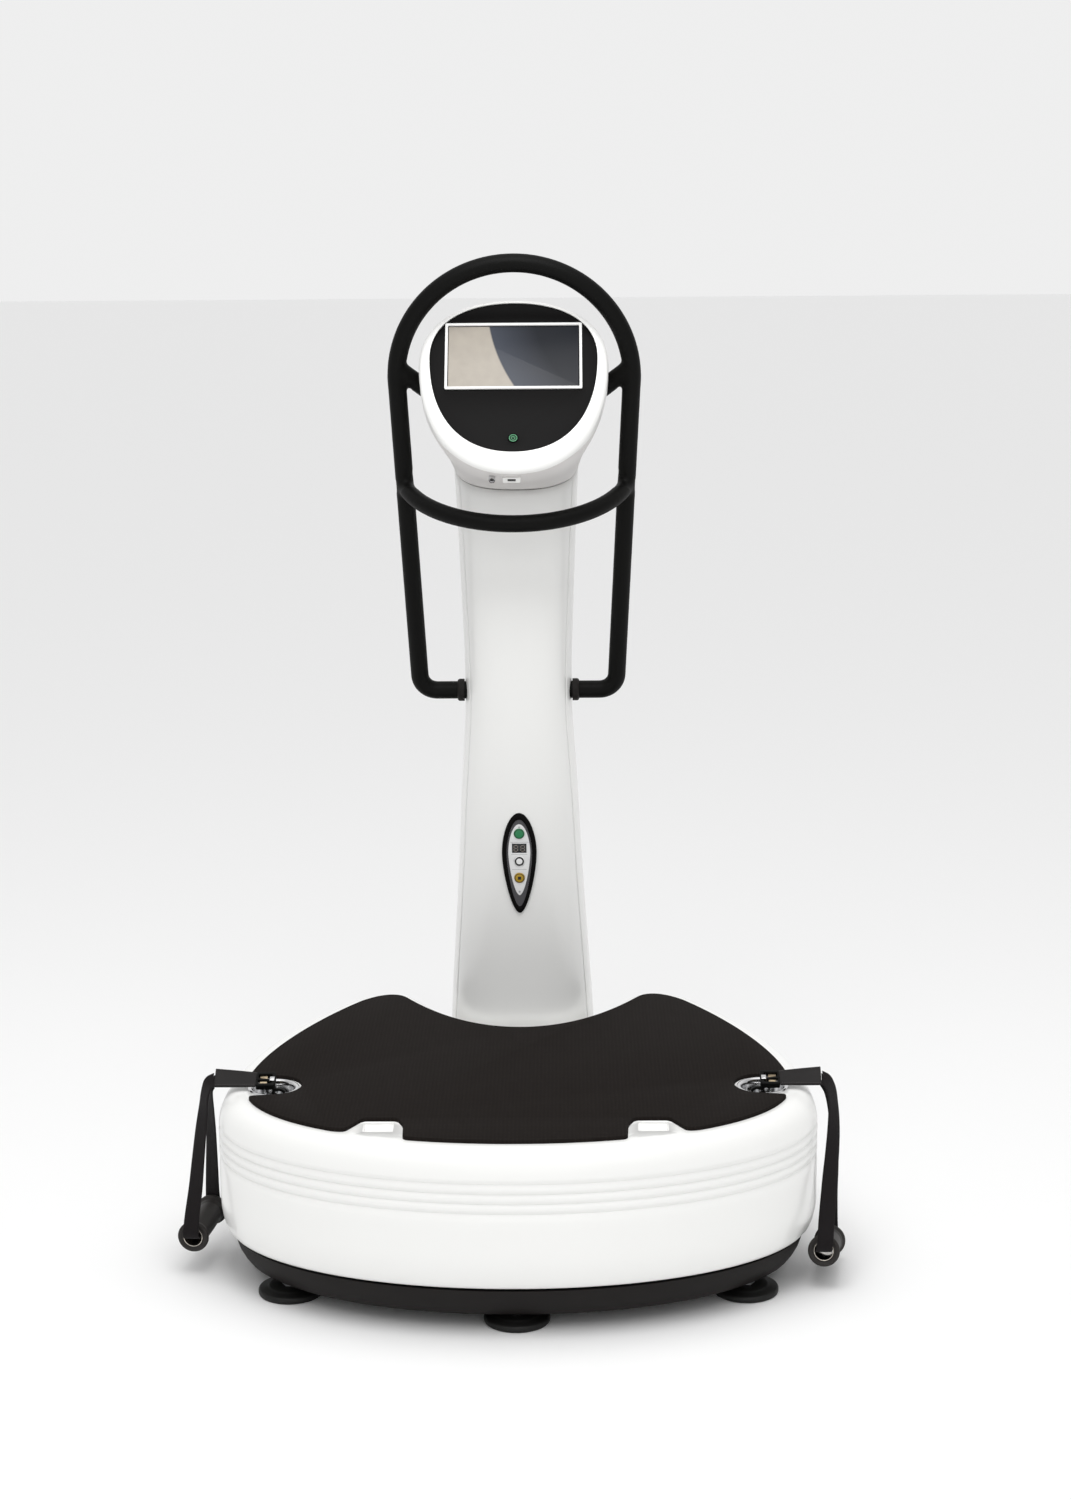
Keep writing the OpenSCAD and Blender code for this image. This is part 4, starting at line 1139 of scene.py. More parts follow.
@dataclass
class Handlebar:
    """The looped tube, its bowed crossbar and the two braces, welded into one."""

    base_y: float = 0.120
    bar_z: float = 0.853
    rise: float = 0.534
    arch_r: float = 0.183
    stub_x: float = 0.160
    elbow_r: float = 0.028
    lean: float = math.radians(13.8)
    tube_r: float = 0.01375
    start_x: float = 0.0403
    cross_s: float = 0.357
    cross_out: float = 0.130
    cross_drop: float = 0.045
    brace_s: float = 0.552
    brace_way: tuple[float, float, float] = (-0.73, 0.36, -0.575)
    brace_end_x: float = 0.0623
    voxel: float = 0.0021
    skin: float = 0.0008

    def place(self, x: float, s: float) -> Vector:
        """A point of the leaning plane: across, and up from the stubs."""
        return Vector((x, self.base_y - s * math.sin(self.lean), self.bar_z + s * math.cos(self.lean)))

    def upright_x(self, s: float) -> float:
        """How far out the upright's middle is, part way up."""
        return self.stub_x + (self.arch_r - self.stub_x) * s / self.rise

    def loop_path(self) -> list[Vector]:
        """The loop's centreline from the right stub over the arch to the left."""
        lean_out = math.atan((self.arch_r - self.stub_x) / self.rise)
        elbow_x = self.stub_x + self.elbow_r * math.sin(lean_out) - self.elbow_r
        half = [(self.start_x, 0.0), ((self.start_x + elbow_x) / 2, 0.0)]
        for i in range(11):
            a = math.pi / 2 * i / 10
            half.append((elbow_x + self.elbow_r * math.sin(a), self.elbow_r * (1 - math.cos(a))))
        steps = 26
        half += [(self.upright_x(self.rise * k / steps), self.rise * k / steps)
                 for k in range(2, steps)]
        begin = -lean_out
        turns = 34
        half += [(self.arch_r * math.cos(a), self.rise + self.arch_r * math.sin(a))
                 for a in (begin + (math.pi / 2 - begin) * k / turns for k in range(turns + 1))]
        right = [self.place(x, s) for x, s in half]
        return right + [Vector((-p.x, p.y, p.z)) for p in right[-2::-1]]

    def cross_path(self) -> list[Vector]:
        """The crossbar's centreline, an arc bowed forwards and down."""
        x = self.upright_x(self.cross_s)
        sag = math.hypot(self.cross_out, self.cross_drop)
        radius = (x * x + sag * sag) / (2 * sag)
        reach = math.asin(x / radius)
        way = Vector((0, -self.cross_out, -self.cross_drop)) / sag
        middle = self.place(0, self.cross_s)
        made = []
        for i in range(41):
            a = reach * (i - 20) / 20
            made.append(middle + Vector((radius * math.sin(a), 0, 0))
                        + way * (radius * math.cos(a) - radius + sag))
        return made

    def tube(self, bm: bmesh.types.BMesh, path: list[Vector], radius: float) -> None:
        """Adds a closed round tube along a path.

        Args:
            bm: The mesh being made.
            path: The centreline.
            radius: The tube's radius.
        """
        sides = 28
        up = Vector((0, math.cos(self.lean), math.sin(self.lean)))
        rings = []
        for i, p in enumerate(path):
            t = (path[min(i + 1, len(path) - 1)] - path[max(i - 1, 0)]).normalized()
            u = (up - t * up.dot(t)).normalized()
            v = t.cross(u)
            rings.append([
                p + u * (radius * math.cos(math.tau * j / sides))
                + v * (radius * math.sin(math.tau * j / sides)) for j in range(sides)
            ])
        sweep(bm, rings, cap=True)

    def brace_path(self, side: int) -> list[Vector]:
        """A brace from the loop's middle to the console's bracket."""
        start = self.place(side * self.arch_r, self.brace_s)
        way = Vector((side * self.brace_way[0], self.brace_way[1], self.brace_way[2]))
        length = (self.arch_r - self.brace_end_x) / abs(self.brace_way[0])
        return [start + way * (length * k / 8) for k in range(9)]

    def build(self) -> None:
        """Joins the tubes by remeshing them as one and filleting the welds."""
        bm = bmesh.new()
        radius = self.tube_r + self.skin
        self.tube(bm, self.loop_path(), radius)
        self.tube(bm, self.cross_path(), radius - 0.0010)
        for side in Side:
            self.tube(bm, self.brace_path(side.value), radius)
        bmesh.ops.recalc_face_normals(bm, faces=list(bm.faces))
        rough = bpy.data.meshes.new("tubes")
        bm.to_mesh(rough)
        bm.free()
        shell = bpy.data.objects.new("tubes", rough)
        bpy.context.scene.collection.objects.link(shell)
        joined = shell.modifiers.new("join", "REMESH")
        joined.mode = "VOXEL"
        joined.voxel_size = self.voxel
        evaluated = shell.evaluated_get(bpy.context.evaluated_depsgraph_get())
        bm = bmesh.new()
        bm.from_mesh(evaluated.to_mesh())
        evaluated.to_mesh_clear()
        bpy.data.objects.remove(shell)
        bpy.data.meshes.remove(rough)
        welds = []
        for side in Side:
            inner = self.upright_x(self.cross_s) - 0.010
            middle = self.place(side.value * inner, self.cross_s)
            welds += [middle, middle + Vector((-side.value * 0.004, -0.008, -0.003)),
                      self.brace_path(side.value)[1]]
        near = [v for v in bm.verts if any((v.co - p).length < 0.027 for p in welds)]
        for _ in range(3):
            bmesh.ops.smooth_vert(bm, verts=list(bm.verts), factor=0.5, use_axis_x=True,
                                  use_axis_y=True, use_axis_z=True)
        for _ in range(26):
            bmesh.ops.smooth_vert(bm, verts=near, factor=0.5, use_axis_x=True,
                                  use_axis_y=True, use_axis_z=True)
        finished("handlebar_tube", bm, TUBE_PAINT, "base",
                 ["handlebar_loop", "handlebar_crossbar", "handlebar_braces"],
                 angle=math.radians(80))
        self.build_collars()

    def build_collars(self) -> None:
        """A rounded collar where each stub meets the column."""
        low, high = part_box("handlebar_collars")
        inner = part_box("column_front_cover")[1].x
        r, length = self.tube_r, 0.011
        profile = [(r + 0.1 * MM, 0), (r + 4.5 * MM, 0), (r + 4.5 * MM, length - 3 * MM),
                   (r + 3.6 * MM, length - 1.2 * MM), (r + 1.8 * MM, length),
                   (r + 0.1 * MM, length)]
        bm = bmesh.new()
        for side in Side:
            turn = Matrix.Rotation(side.value * math.pi / 2, 4, "Y")
            place = Matrix.Translation((side.value * (high.x - length), self.base_y, self.bar_z)) @ turn
            merge(bm, spun(profile, place, closed=True))
        finished("handlebar_collars_moulded", bm, SKIRT, "base", ["handlebar_collars"])
        LOG.info("collars from x %.3f, column half width %.3f", low.x, inner)


# ---- console ----


@dataclass
class Console:
    """The tilted head: white shells, black faceplate, screen and power button."""

    column: Column
    width: float = 0.292
    height: float = 0.316
    tilt: float = math.radians(37)
    face_y: float = -0.085
    face_z: float = 1.367
    back: float = -0.034
    chin_back: float = -0.016
    wall: float = 0.003
    screen_w: float = 0.211
    screen_h: float = 0.119
    trim_w: float = 0.0042
    jack_x: float = -0.033
    usb_x: float = -0.003
    socket_pitch: float = math.radians(122)

    def __post_init__(self) -> None:
        """Works the two outlines out from the sizes."""
        half, up = self.width / 2, self.height / 2
        self.plate_top, self.plate_bottom = up - 0.009, 0.040 - up
        self.shell_line = self.face_line(half, up, 0.044, 0.009 - up, half - 0.036)
        self.plate_line = self.face_line(half - 0.017, self.plate_top, 0.050,
                                         self.plate_bottom, half - 0.052)
        self.screen_y = self.plate_top - 0.037 - self.screen_h / 2
        self.power_y = self.plate_bottom + 0.024

    def face_line(self, w: float, top: float, wide: float, bottom: float, low: float) -> list[Vector]:
        """An egg-shaped outline on the face.

        Args:
            w: Half width.
            top: Height of the top.
            wide: Height of the widest line.
            bottom: Height of the bottom.
            low: Half width of the rounding at the bottom.

        Returns:
            The outline's points.
        """
        return outline((
            ((0, bottom), (low, bottom), (w, wide - 0.086), (w, wide), 16),
            ((w, wide), (w, wide + 0.68 * (top - wide)), (0.56 * w, top), (0, top), 16),
        ), (0, top))

    def on_face(self, x: float, y: float, w: float) -> Vector:
        """A place from across, up the slope and out of the face."""
        s, c = math.sin(self.tilt), math.cos(self.tilt)
        return Vector((x, self.face_y + s * y - c * w, self.face_z + c * y + s * w))

    def shell_ring(self, t: float, w: float) -> Ring:
        """A ring between the faceplate's outline (0) and the shell's (1)."""
        return [
            self.on_face(*plate.lerp(shell, t), w)
            for plate, shell in zip(self.plate_line, self.shell_line)
        ]

    def parting(self, p: Vector) -> float:
        """How deep the joint between the two shells lies: shallow under the chin."""
        t = min(max((-0.040 - p.y) / 0.090, 0), 1)
        return self.back + (self.chin_back - self.back) * t * t * (3 - 2 * t)

    def edge_ring(self, fraction: float, inset: float = 1.0) -> Ring:
        """A ring on the shell's edge, part of the way back to the parting line."""
        return [
            self.on_face(*plate.lerp(shell, inset), self.parting(shell) * fraction)
            for plate, shell in zip(self.plate_line, self.shell_line)
        ]

    def plate_ring(self, scale: float, w: float) -> Ring:
        """The faceplate's outline, scaled, at a height off the face."""
        return [self.on_face(*about(p, Vector((0, 0.015)), scale), w) for p in self.plate_line]

    def build_front(self) -> None:
        """The rounded white bezel round the faceplate."""
        rolled = [(t, -0.015 + 0.0147 * h) for t, h in arc_rise(16, 2.2)]
        rings = [self.edge_ring(1, 0.985), self.edge_ring(0.97), self.edge_ring(0.94)]
        rings += [self.shell_ring(0.02 + 0.98 * t, w) for t, w in rolled]
        rings += [self.plate_ring(1.003, w) for w in (-0.0012, -0.0025, -0.006)]
        rings += [self.plate_ring(0.9, -0.006), self.plate_ring(0.9, -0.009),
                  self.shell_ring(0.45, -0.009), self.shell_ring(0.76, -0.012),
                  self.edge_ring(1, 0.85)]
        bm = bmesh.new()
        sweep(bm, rings + [rings[0]])
        finished("console_front_moulding", bm, WHITE_SHELL, "base",
                 ["console_front_shell"])

    def rear_ring(self, t: float, wall: float, swell: float) -> Ring:
        """A ring of the rear shell between the face (0) and the column's top (1).

        Args:
            t: How far down.
            wall: How far inside the outer skin.
            swell: How much wider than the straight line between the two ends.

        Returns:
            The places.
        """
        scale = 1 - wall / (self.width / 2)
        half, front, rear, rise = self.column.section(self.column.top)
        n = len(self.shell_line)
        ring = []
        for i, p in enumerate(self.shell_line):
            angle = -math.pi / 2 + math.tau * i / n
            c, s = math.cos(angle), math.sin(angle)
            power = 2 / self.column.fullness
            y = (front + rear) / 2 + ((rear - front) / 2 - wall) * math.copysign(abs(s) ** power, s)
            low = Vector(((half - wall) * math.copysign(abs(c) ** power, c), y,
                          self.column.top + rise * (y - front)))
            start = self.on_face(p.x * scale, p.y * scale, self.parting(p) - 0.0003)
            place = start.lerp(low, t)
            place.x *= 1 + swell
            ring.append(place)
        return ring

    def build_rear(self) -> None:
        """The rear shell, from the bezel back and down to the column."""
        steps = 24
        rings = []
        for k in range(steps + 1):
            t = k / steps
            swell = 0.012 * math.sin(math.pi * min(t / 0.5, 1)) - 0.010 * math.sin(
                math.pi * max((t - 0.5) / 0.5, 0))
            rings.append(self.rear_ring(t, 0, swell))
        bm = bmesh.new()
        sweep(bm, rings)
        # the rear shell takes the greyer white, painted shade of the underside that faces down
        shell = finished("console_rear_moulding", bm, WHITE_SHELL_PAINTED_SHADE, "base",
                         ["console_rear_shell"],
                         heart=Vector((0, 0.0, self.face_z - 0.07)))
        thicken(shell, self.wall)

    def build_plate(self) -> None:
        """The faceplate with a window for the screen and a hole for the power button."""
        hole = rounded_box(self.screen_w - 0.010, self.screen_h - 0.010, 0.001, (0, self.screen_y))
        loops = [self.plate_line, hole, circle(0.0078, (0, self.power_y))]
        bm = slab(loops, -0.0058, -0.0018, self.on_face, edge=0.0005)
        finished("faceplate_printed", bm, FACE_ACRYLIC, "base", ["faceplate"])

    def build_screen(self) -> None:
        """The glass with a painted reflection, and the white frame that stands round it."""
        w, h, middle = self.screen_w, self.screen_h, (0, self.screen_y)
        bm = slab([rounded_box(w - 0.0106, h - 0.0106, 0.001, middle)], -0.0055, -0.0019,
                  self.on_face, edge=0.0004)
        # the edge between the painted reflection's two fields runs down the glass a little left of its
        # middle
        centre = self.on_face(0.259, self.screen_y + 0.100, -0.002)
        glass = StandbyScreen(
            "display_glass_standby", "#A9A298", 0.3, specular=0.2, mottle=0.10, mottle_mm=18,
            relief_mm=0.0, centre=tuple(centre), radius=0.300)
        finished("screen_glass_sheet", bm, glass, "base", ["screen_glass"])
        loops = [rounded_box(w, h, 0.0022, middle),
                 rounded_box(w - 2 * self.trim_w, h - 2 * self.trim_w, 0.0008, middle)]
        bm = slab(loops, -0.0017, 0.0011, self.on_face, edge=0.0008)
        finished("screen_trim", bm, SCREEN_TRIM, "base", ["screen_frame"])

    def build_power(self) -> None:
        """A black button with a green standby sign and ring printed on it."""
        y = self.power_y
        bm = slab([circle(0.0074, (0, y))], -0.0095, -0.0009, self.on_face, edge=0.0009)
        finished("power_button_cap", bm, FACE_ACRYLIC, "power_key", ["power_button"])
        for name, outer, inner in (("outer", 0.0064, 0.0050), ("inner", 0.0034, 0.0023)):
            bm = slab([circle(outer, (0, y)), circle(inner, (0, y))], -0.0012, -0.0006,
                      self.on_face)
            finished(f"power_sign_{name}", bm, KEY_GREEN, "power_key")
        bm = slab([rounded_box(0.0012, 0.0030, 0.0005, (0, y + 0.0018))], -0.0012, -0.0005,
                  self.on_face)
        finished("power_sign_bar", bm, KEY_GREEN, "power_key")

    def build_sockets(self) -> None:
        """An audio jack and a small socket plate under the chin."""
        turn = Matrix.Rotation(self.socket_pitch, 4, "X")
        seat = Matrix.Translation((0, self.face_y - 0.047, self.face_z - 0.1405)) @ turn

        def on_band(x: float, y: float, w: float) -> Vector:
            """A place from across, up the band and out of it."""
            return seat @ Vector((x, y, w))

        profile = [(0, -0.012), (0.0052, -0.012), (0.0052, 0.0006), (0.0046, 0.0014),
                   (0.0030, 0.0014), (0.0022, 0.0004), (0.0020, -0.006), (0, -0.006)]
        bm = spun(profile, Matrix.Translation((self.jack_x, 0, 0)), 40)
        bmesh.ops.transform(bm, matrix=seat, verts=bm.verts)
        finished("audio_jack_turned", bm, CHROME, "base", ["audio_jack"])
        bm = slab([circle(0.0019, (self.jack_x, 0), 24)], -0.005, -0.0008, on_band)
        finished("audio_jack_hole", bm, INK_BLACK, "base")
        bm = slab([rounded_box(0.027, 0.0094, 0.0014, (self.usb_x, 0)),
                   rounded_box(0.0124, 0.0046, 0.0004, (self.usb_x, 0))], -0.010, 0.0012,
                  on_band, edge=0.0006)
        finished("socket_plate", bm, WHITE_SHELL, "base", ["usb_port"])
        bm = slab([rounded_box(0.0122, 0.0044, 0.0004, (self.usb_x, 0))], -0.009, -0.0006, on_band)
        finished("socket_slot", bm, INK_BLACK, "base")

    def build(self) -> None:
        """Builds the whole head."""
        self.build_front()
        self.build_rear()
        self.build_plate()
        self.build_screen()
        self.build_power()
        self.build_sockets()


# ---- remote panel ----


@dataclass
class RemotePanel:
    """The leaf-shaped panel low on the column: bezel, label, three buttons and a display."""

    column: Column
    z: float = 0.574
    pitch: float = math.radians(93.8)
    width: float = 0.057
    height: float = 0.172
    rim: float = 0.0075
    label_w: float = 0.036
    label_h: float = 0.122
    label_y: float = 0.006
    button_r: float = 0.0085
    start_y: float = 0.051
    digits_y: float = 0.026
    repeat_y: float = 0.004
    stop_y: float = -0.025
    digits_w: float = 0.0236
    digits_h: float = 0.0154

    def on_panel(self, x: float, y: float, w: float) -> Vector:
        """A place from across, up the panel and out of it."""
        s, c = math.sin(self.pitch), math.cos(self.pitch)
        front = 0.064 - (self.z - 0.570) * 0.007 / 0.090
        return Vector((x, front + c * y - s * w, self.z + s * y + c * w))

    def leaf(self, w: float, h: float, y: float = 0.0) -> list[Vector]:
        """A leaf-shaped outline, widest above its middle."""
        line = outline((
            ((0, h), (0.56 * w, h), (w, 0.58 * h), (w, 0.22 * h), 8),
            ((w, 0.22 * h), (w, -0.2 * h), (0.45 * w, -h), (0, -h), 12),
        ), (0, -h), 3)
        return [Vector((p.x, p.y + y)) for p in line]

    def holes(self, grow: float) -> list[list[Vector]]:
        """Holes for the buttons and the display."""
        made = [circle(self.button_r + grow, (0, y), 40)
                for y in (self.start_y, self.repeat_y, self.stop_y)]
        made.append(rounded_box(self.digits_w + grow, self.digits_h + grow, 0.0006,
                                (0, self.digits_y)))
        return made

    def build_plates(self) -> None:
        """The bezel, and the label with the thin lines between its fields."""
        w, h, rim = self.width / 2, self.height / 2, self.rim
        bm = slab([self.leaf(w, h), self.leaf(w - rim, h - 0.011)], -0.010, 0.004, self.on_panel,
                  edge=0.0016)
        finished("remote_bezel_ring", bm, FACE_ACRYLIC, "base", ["remote_bezel"])
        bm = slab([self.leaf(self.label_w / 2, self.label_h / 2, self.label_y),
                   *self.holes(0.0003)], 0.002, 0.0029, self.on_panel, edge=0.0002)
        finished("remote_label_film", bm, LABEL_FILM, "base", ["remote_label"])
        for k, y in enumerate((self.start_y - 0.0145, self.repeat_y + 0.0115, self.repeat_y - 0.0145)):
            bm = slab([rounded_box(self.label_w - 0.006 - 0.003 * k, 0.0005, 0.0002, (0, y))], 0.0026,
                      0.00295, self.on_panel)
            finished(f"label_line_{k}", bm, LINE_INK, "base")

    def button(self, name: str, y: float, finish: Finish, ring: float) -> None:
        """A domed key with a printed ring or sign on it.

        Args:
            name: The key's name, such as start.
            y: Its place up the panel.
            finish: The key's finish.
            ring: Width of the black ring round its face.
        """
        r = self.button_r
        bm = slab([circle(r, (0, y))], -0.0038, 0.0046, self.on_panel, edge=0.0007)
        finished(f"{name}_key_cap", bm, finish, f"{name}_key", [f"{name}_button"])
        bm = slab([circle(r - 0.0008, (0, y)), circle(r - 0.0008 - ring, (0, y))],
                  0.0044, 0.0048, self.on_panel)
        finished(f"{name}_key_ring", bm, INK_BLACK, f"{name}_key")

    def build_digits(self) -> None:
        """The display's smoked window with two unlit seven-bar digits under its face."""
        y = self.digits_y
        bm = slab([rounded_box(self.digits_w, self.digits_h, 0.0006, (0, y))], -0.005, 0.0031,
                  self.on_panel, edge=0.0003)
        finished("digit_window", bm, SMOKED, "base", ["digit_display"])
        bars = [(0, dy, 0.0042, 0.0008) for dy in (-0.005, 0, 0.005)]
        bars += [(dx, dy, 0.0008, 0.0040) for dx in (-0.0030, 0.0030) for dy in (-0.0025, 0.0025)]
        bm = bmesh.new()
        for x in (-0.0056, 0.0056):
            for dx, dy, width, height in bars:
                merge(bm, slab([rounded_box(width, height, 0.0003, (x + dx, y + dy), 2)], 0.0029,
                           0.0033, self.on_panel))
        finished("digit_bars", bm, DIGIT, "base")

    def build(self) -> None:
        """Builds the panel."""
        self.build_plates()
        self.build_digits()
        self.button("start", self.start_y, KEY_GREEN, 0.0008)
        self.button("repeat", self.repeat_y, KEY_WHITE, 0.0026)
        self.button("stop", self.stop_y, KEY_AMBER, 0.0010)
        bm = slab([rounded_box(0.0052, 0.0052, 0.0006, (0, self.stop_y))], 0.0044, 0.0048,
                  self.on_panel)
        finished("stop_key_sign", bm, INK_BLACK, "stop_key")


# ---- strap handles ----


@dataclass
class StrapHandle:
    """One side's hook hardware, sleeve, web loop and grip."""

    side: Side
    route: tuple[tuple[float, float, float], ...]
    anchor_x: float = 0.372
    anchor_y: float = -0.245
    anchor_z: float = 0.282
    sleeve_start: float = 0.407
    sleeve_end: float = 0.470
    sleeve_z: float = 0.308
    sleeve_w: float = 0.034
    sleeve_t: float = 0.005
    web_w: float = 0.025
    web_t: float = 0.0022
    grip_l: float = 0.121
    flange_r: float = 0.0245
    bore_r: float = 0.014
    tube_wall: float = 0.0014
    mouth: int = 10
    exit: int = 14

    def mirrored(self, p: Vector) -> Vector:
        """A place on this handle's own side."""
        return Vector((self.side.value * p.x, p.y, p.z))

    def name(self, word: str) -> str:
        """A piece's name with its side."""
        return f"{word}_{self.side.word}"

    def path(self) -> list[Vector]:
        """The web's centreline, drawn smoothly through its route."""
        points = [Vector(p) * MM for p in self.route]
        steps = 5
        made = []
        for i in range(len(points) - 1):
            a, b = points[max(i - 1, 0)], points[i]
            c, d = points[i + 1], points[min(i + 2, len(points) - 1)]
            for k in range(steps):
                t = k / steps
                made.append(0.5 * ((2 * b) + (c - a) * t + (2 * a - 5 * b + 4 * c - d) * t * t
                                   + (3 * b - a - 3 * c + d) * t**3))
        return made + [points[-1]]

    def turn(self, along: float) -> float:
        """How far the web's width has turned from the sleeve's to the bore's, from 0 to 1."""
        last = len(self.route) - 1
        if along < self.mouth:
            return along / self.mouth
        if along > self.exit:
            return (last - along) / (last - self.exit)
        return 1.0

    def build_web(self) -> None:
        """The flat web as one loop from the sleeve through the grip and back."""
        path = self.path()
        roll = math.radians(38)
        last = len(path) - 1
        per_point = last / (len(self.route) - 1)
        rings = []
        for i, p in enumerate(path):
            way = (path[min(i + 1, last)] - path[max(i - 1, 0)]).normalized()
            if i in (0, last):
                way = Vector((1 if i == 0 else -1, 0, 0))
            a = math.pi / 2 * self.turn(i / per_point)
            across = Vector((math.sin(a), math.cos(a) * math.cos(roll), math.cos(a) * math.sin(roll)))
            u = (across - way * across.dot(way)).normalized() * (self.web_w / 2)
            v = way.cross(u).normalized() * (self.web_t / 2)
            section = ((1, 0), (0.97, 0.7), (0.9, 1), (0.5, 1), (0, 1), (-0.5, 1), (-0.9, 1), (-0.97, 0.7),
                       (-1, 0), (-0.97, -0.7), (-0.9, -1), (-0.5, -1), (0, -1), (0.5, -1), (0.9, -1),
                       (0.97, -0.7))
            rings.append([self.mirrored(p + u * x + v * y) for x, y in section])
        bm = bmesh.new()
        made = sweep(bm, rings, cap=True)
        uv = bm.loops.layers.uv.new("strap")
        where = {}
        run = 0.0
        for i, verts in enumerate(made):
            run += (path[i] - path[i - 1]).length if i else 0.0
            for j, vert in enumerate(verts):
                across = 1 - abs(j - 8) / 8
                where[vert] = (across * self.web_w / MM / 4, run / MM / 4)
        for face in bm.faces:
            for loop in face.loops:
                loop[uv].uv = where[loop.vert]
        length = sum((b - a).length for a, b in zip(path, path[1:]))
        places = [self.mirrored(p) for p in path]
        web = finished(self.name("web_loop"), bm, WEBBING, f"{self.side.word}_strap",
                       [self.name("strap_web")])

    def grip_place(self) -> Matrix:
        """The grip's near end, with +Z along its bore."""
        points = [self.mirrored(Vector(p) * MM) for p in self.route]
        way = (points[self.exit] - points[self.mouth]).normalized()
        turn = way.to_track_quat("Z", "Y").to_matrix().to_4x4()
        return Matrix.Translation(points[self.mouth] + way * 0.003) @ turn

    def build_grip(self) -> None:
        """The waisted rubber grip with stepped flanges, and the bright tube in its bore."""
        length, flange, tube = self.grip_l, self.flange_r, self.bore_r + self.tube_wall
        inner = tube + 0.00005
        end = [(inner, 0), (inner + 0.0012, 0), (inner + 0.0022, 0.0006), (inner + 0.0032, 0),
               (flange - 0.0024, 0), (flange - 0.0008, 0.0007), (flange, 0.0024), (flange, 0.0050),
               (flange - 0.0012, 0.0072), (flange - 0.0042, 0.0095), (tube + 0.0052, 0.0130),
               (tube + 0.0034, 0.0180)]
        ribs = []
        count = 21
        for k in range(count):
            z = 0.021 + (length - 0.042) * k / (count - 1)
            belly = 0.0009 * math.sin(math.pi * k / (count - 1))
            ribs.append((tube + 0.0030 + belly + (0.0005 if k % 2 else 0), z))
        other = [(r, length - z) for r, z in reversed(end)]
        bm = spun(end + ribs + other, self.grip_place(), closed=True)
        body = f"{self.side.word}_handle"
        finished(self.name("grip_moulding"), bm, GRIP_RUBBER, body, [self.name("grip")],
                 angle=math.radians(60))
        wall = [(self.bore_r, 0.0005), (self.bore_r + 0.0004, 0.0002), (tube - 0.0003, 0.0002),
                (tube, 0.0005), (tube, length - 0.0005), (tube - 0.0003, length - 0.0002),
                (self.bore_r + 0.0004, length - 0.0002), (self.bore_r, length - 0.0005)]
        bm = spun(wall, self.grip_place(), closed=True)
        finished(self.name("grip_liner"), bm, BRIGHT_TUBE, body, [self.name("grip_tube")],
                 angle=math.radians(60))

    def build_sleeve(self) -> None:
        """The stitched sleeve, twisting forwards as it runs out over the rim."""
        steps = 24
        rings, seams = [], {-1: [], 1: []}
        for k in range(steps + 1):
            t = k / steps
            x = self.sleeve_start - 0.0005 + (self.sleeve_end - self.sleeve_start + 0.001) * t
            roll = math.radians(20 + 18 * t)
            z = self.sleeve_z + 0.003 * t
            swell = 1 + 0.25 * math.sin(math.pi * t)
            end = 0.86 if k in (0, steps) else 1.0
            u = Vector((0, math.cos(roll), math.sin(roll)))
            v = Vector((0, -math.sin(roll), math.cos(roll)))
            middle = Vector((x, self.anchor_y, z))
            ring = []
            for j in range(32):
                a = math.tau * j / 32
                c, s = math.cos(a), math.sin(a)
                across = self.sleeve_w / 2 * math.copysign(abs(c) ** 0.45, c) * (0.97 + 0.03 * end)
                up = self.sleeve_t / 2 * math.copysign(abs(s) ** 0.75, s) * swell * end
                ring.append(self.mirrored(middle + u * across + v * up))
            rings.append(ring)
            for sign in seams:
                seams[sign].append(self.mirrored(
                    middle + u * sign * (self.sleeve_w / 2 - 0.0028)
                    + v * self.sleeve_t / 2 * (0.93 + 0.25 * math.sin(math.pi * t))))
        bm = bmesh.new()
        sweep(bm, rings, cap=True)
        body = f"{self.side.word}_sleeve"
        finished(self.name("sleeve_leather"), bm, LEATHER, body, [self.name("sleeve")])
        bm = bmesh.new()
        for line in seams.values():
            for k in range(1, len(line) - 1):
                a, b = line[k], line[k].lerp(line[k + 1], 0.62)
                middle, way = (a + b) / 2, (b - a)
                turn = way.to_track_quat("Z", "Y").to_matrix().to_4x4()
                stitch = bmesh.ops.create_icosphere(
                    bm, subdivisions=1, radius=0.00045,
                    matrix=Matrix.Translation(middle) @ turn @ Matrix.Diagonal(
                        (1, 1, way.length / 0.0009, 1)))
                assert stitch["verts"]
        finished(self.name("sleeve_stitches"), bm, THREAD, body)

    def build_shackle(self) -> None:
        """The hook's black box frame with a bright window and a pale gold plate in it."""
        roll = math.radians(20)
        body = f"{self.side.word}_sleeve"

        def place(x: float, y: float, w: float) -> Vector:
            """Stands flat x and y on the hook's tilted top."""
            return self.mirrored(Vector((
                x, self.anchor_y + y * math.cos(roll) - w * math.sin(roll),
                self.sleeve_z + y * math.sin(roll) + w * math.cos(roll))))

        loops = [rounded_box(0.030, 0.033, 0.003, (0.3915, 0)),
                 rounded_box(0.021, 0.022, 0.002, (0.3925, 0))]
        bm = slab(loops, -0.0065, 0.0025, place, edge=0.0012)
        finished(self.name("shackle_frame"), bm, TUBE_PAINT, body)
        bm = slab([rounded_box(0.0120, 0.0200, 0.0012, (0.3950, 0))], -0.0045, -0.0005, place,
                  edge=0.0008)
        finished(self.name("shackle_plate"), bm, GOLD_PLATE, body)
        bm = slab([rounded_box(0.0075, 0.0095, 0.0008, (0.3815, -0.001))], -0.0010, 0.0034, place,
                  edge=0.0006)
        finished(self.name("shackle_stud"), bm, CHROME, body)

    def build(self) -> None:
        """Builds the handle from the hook to the grip."""
        self.build_sleeve()
        self.build_shackle()
        self.build_grip()


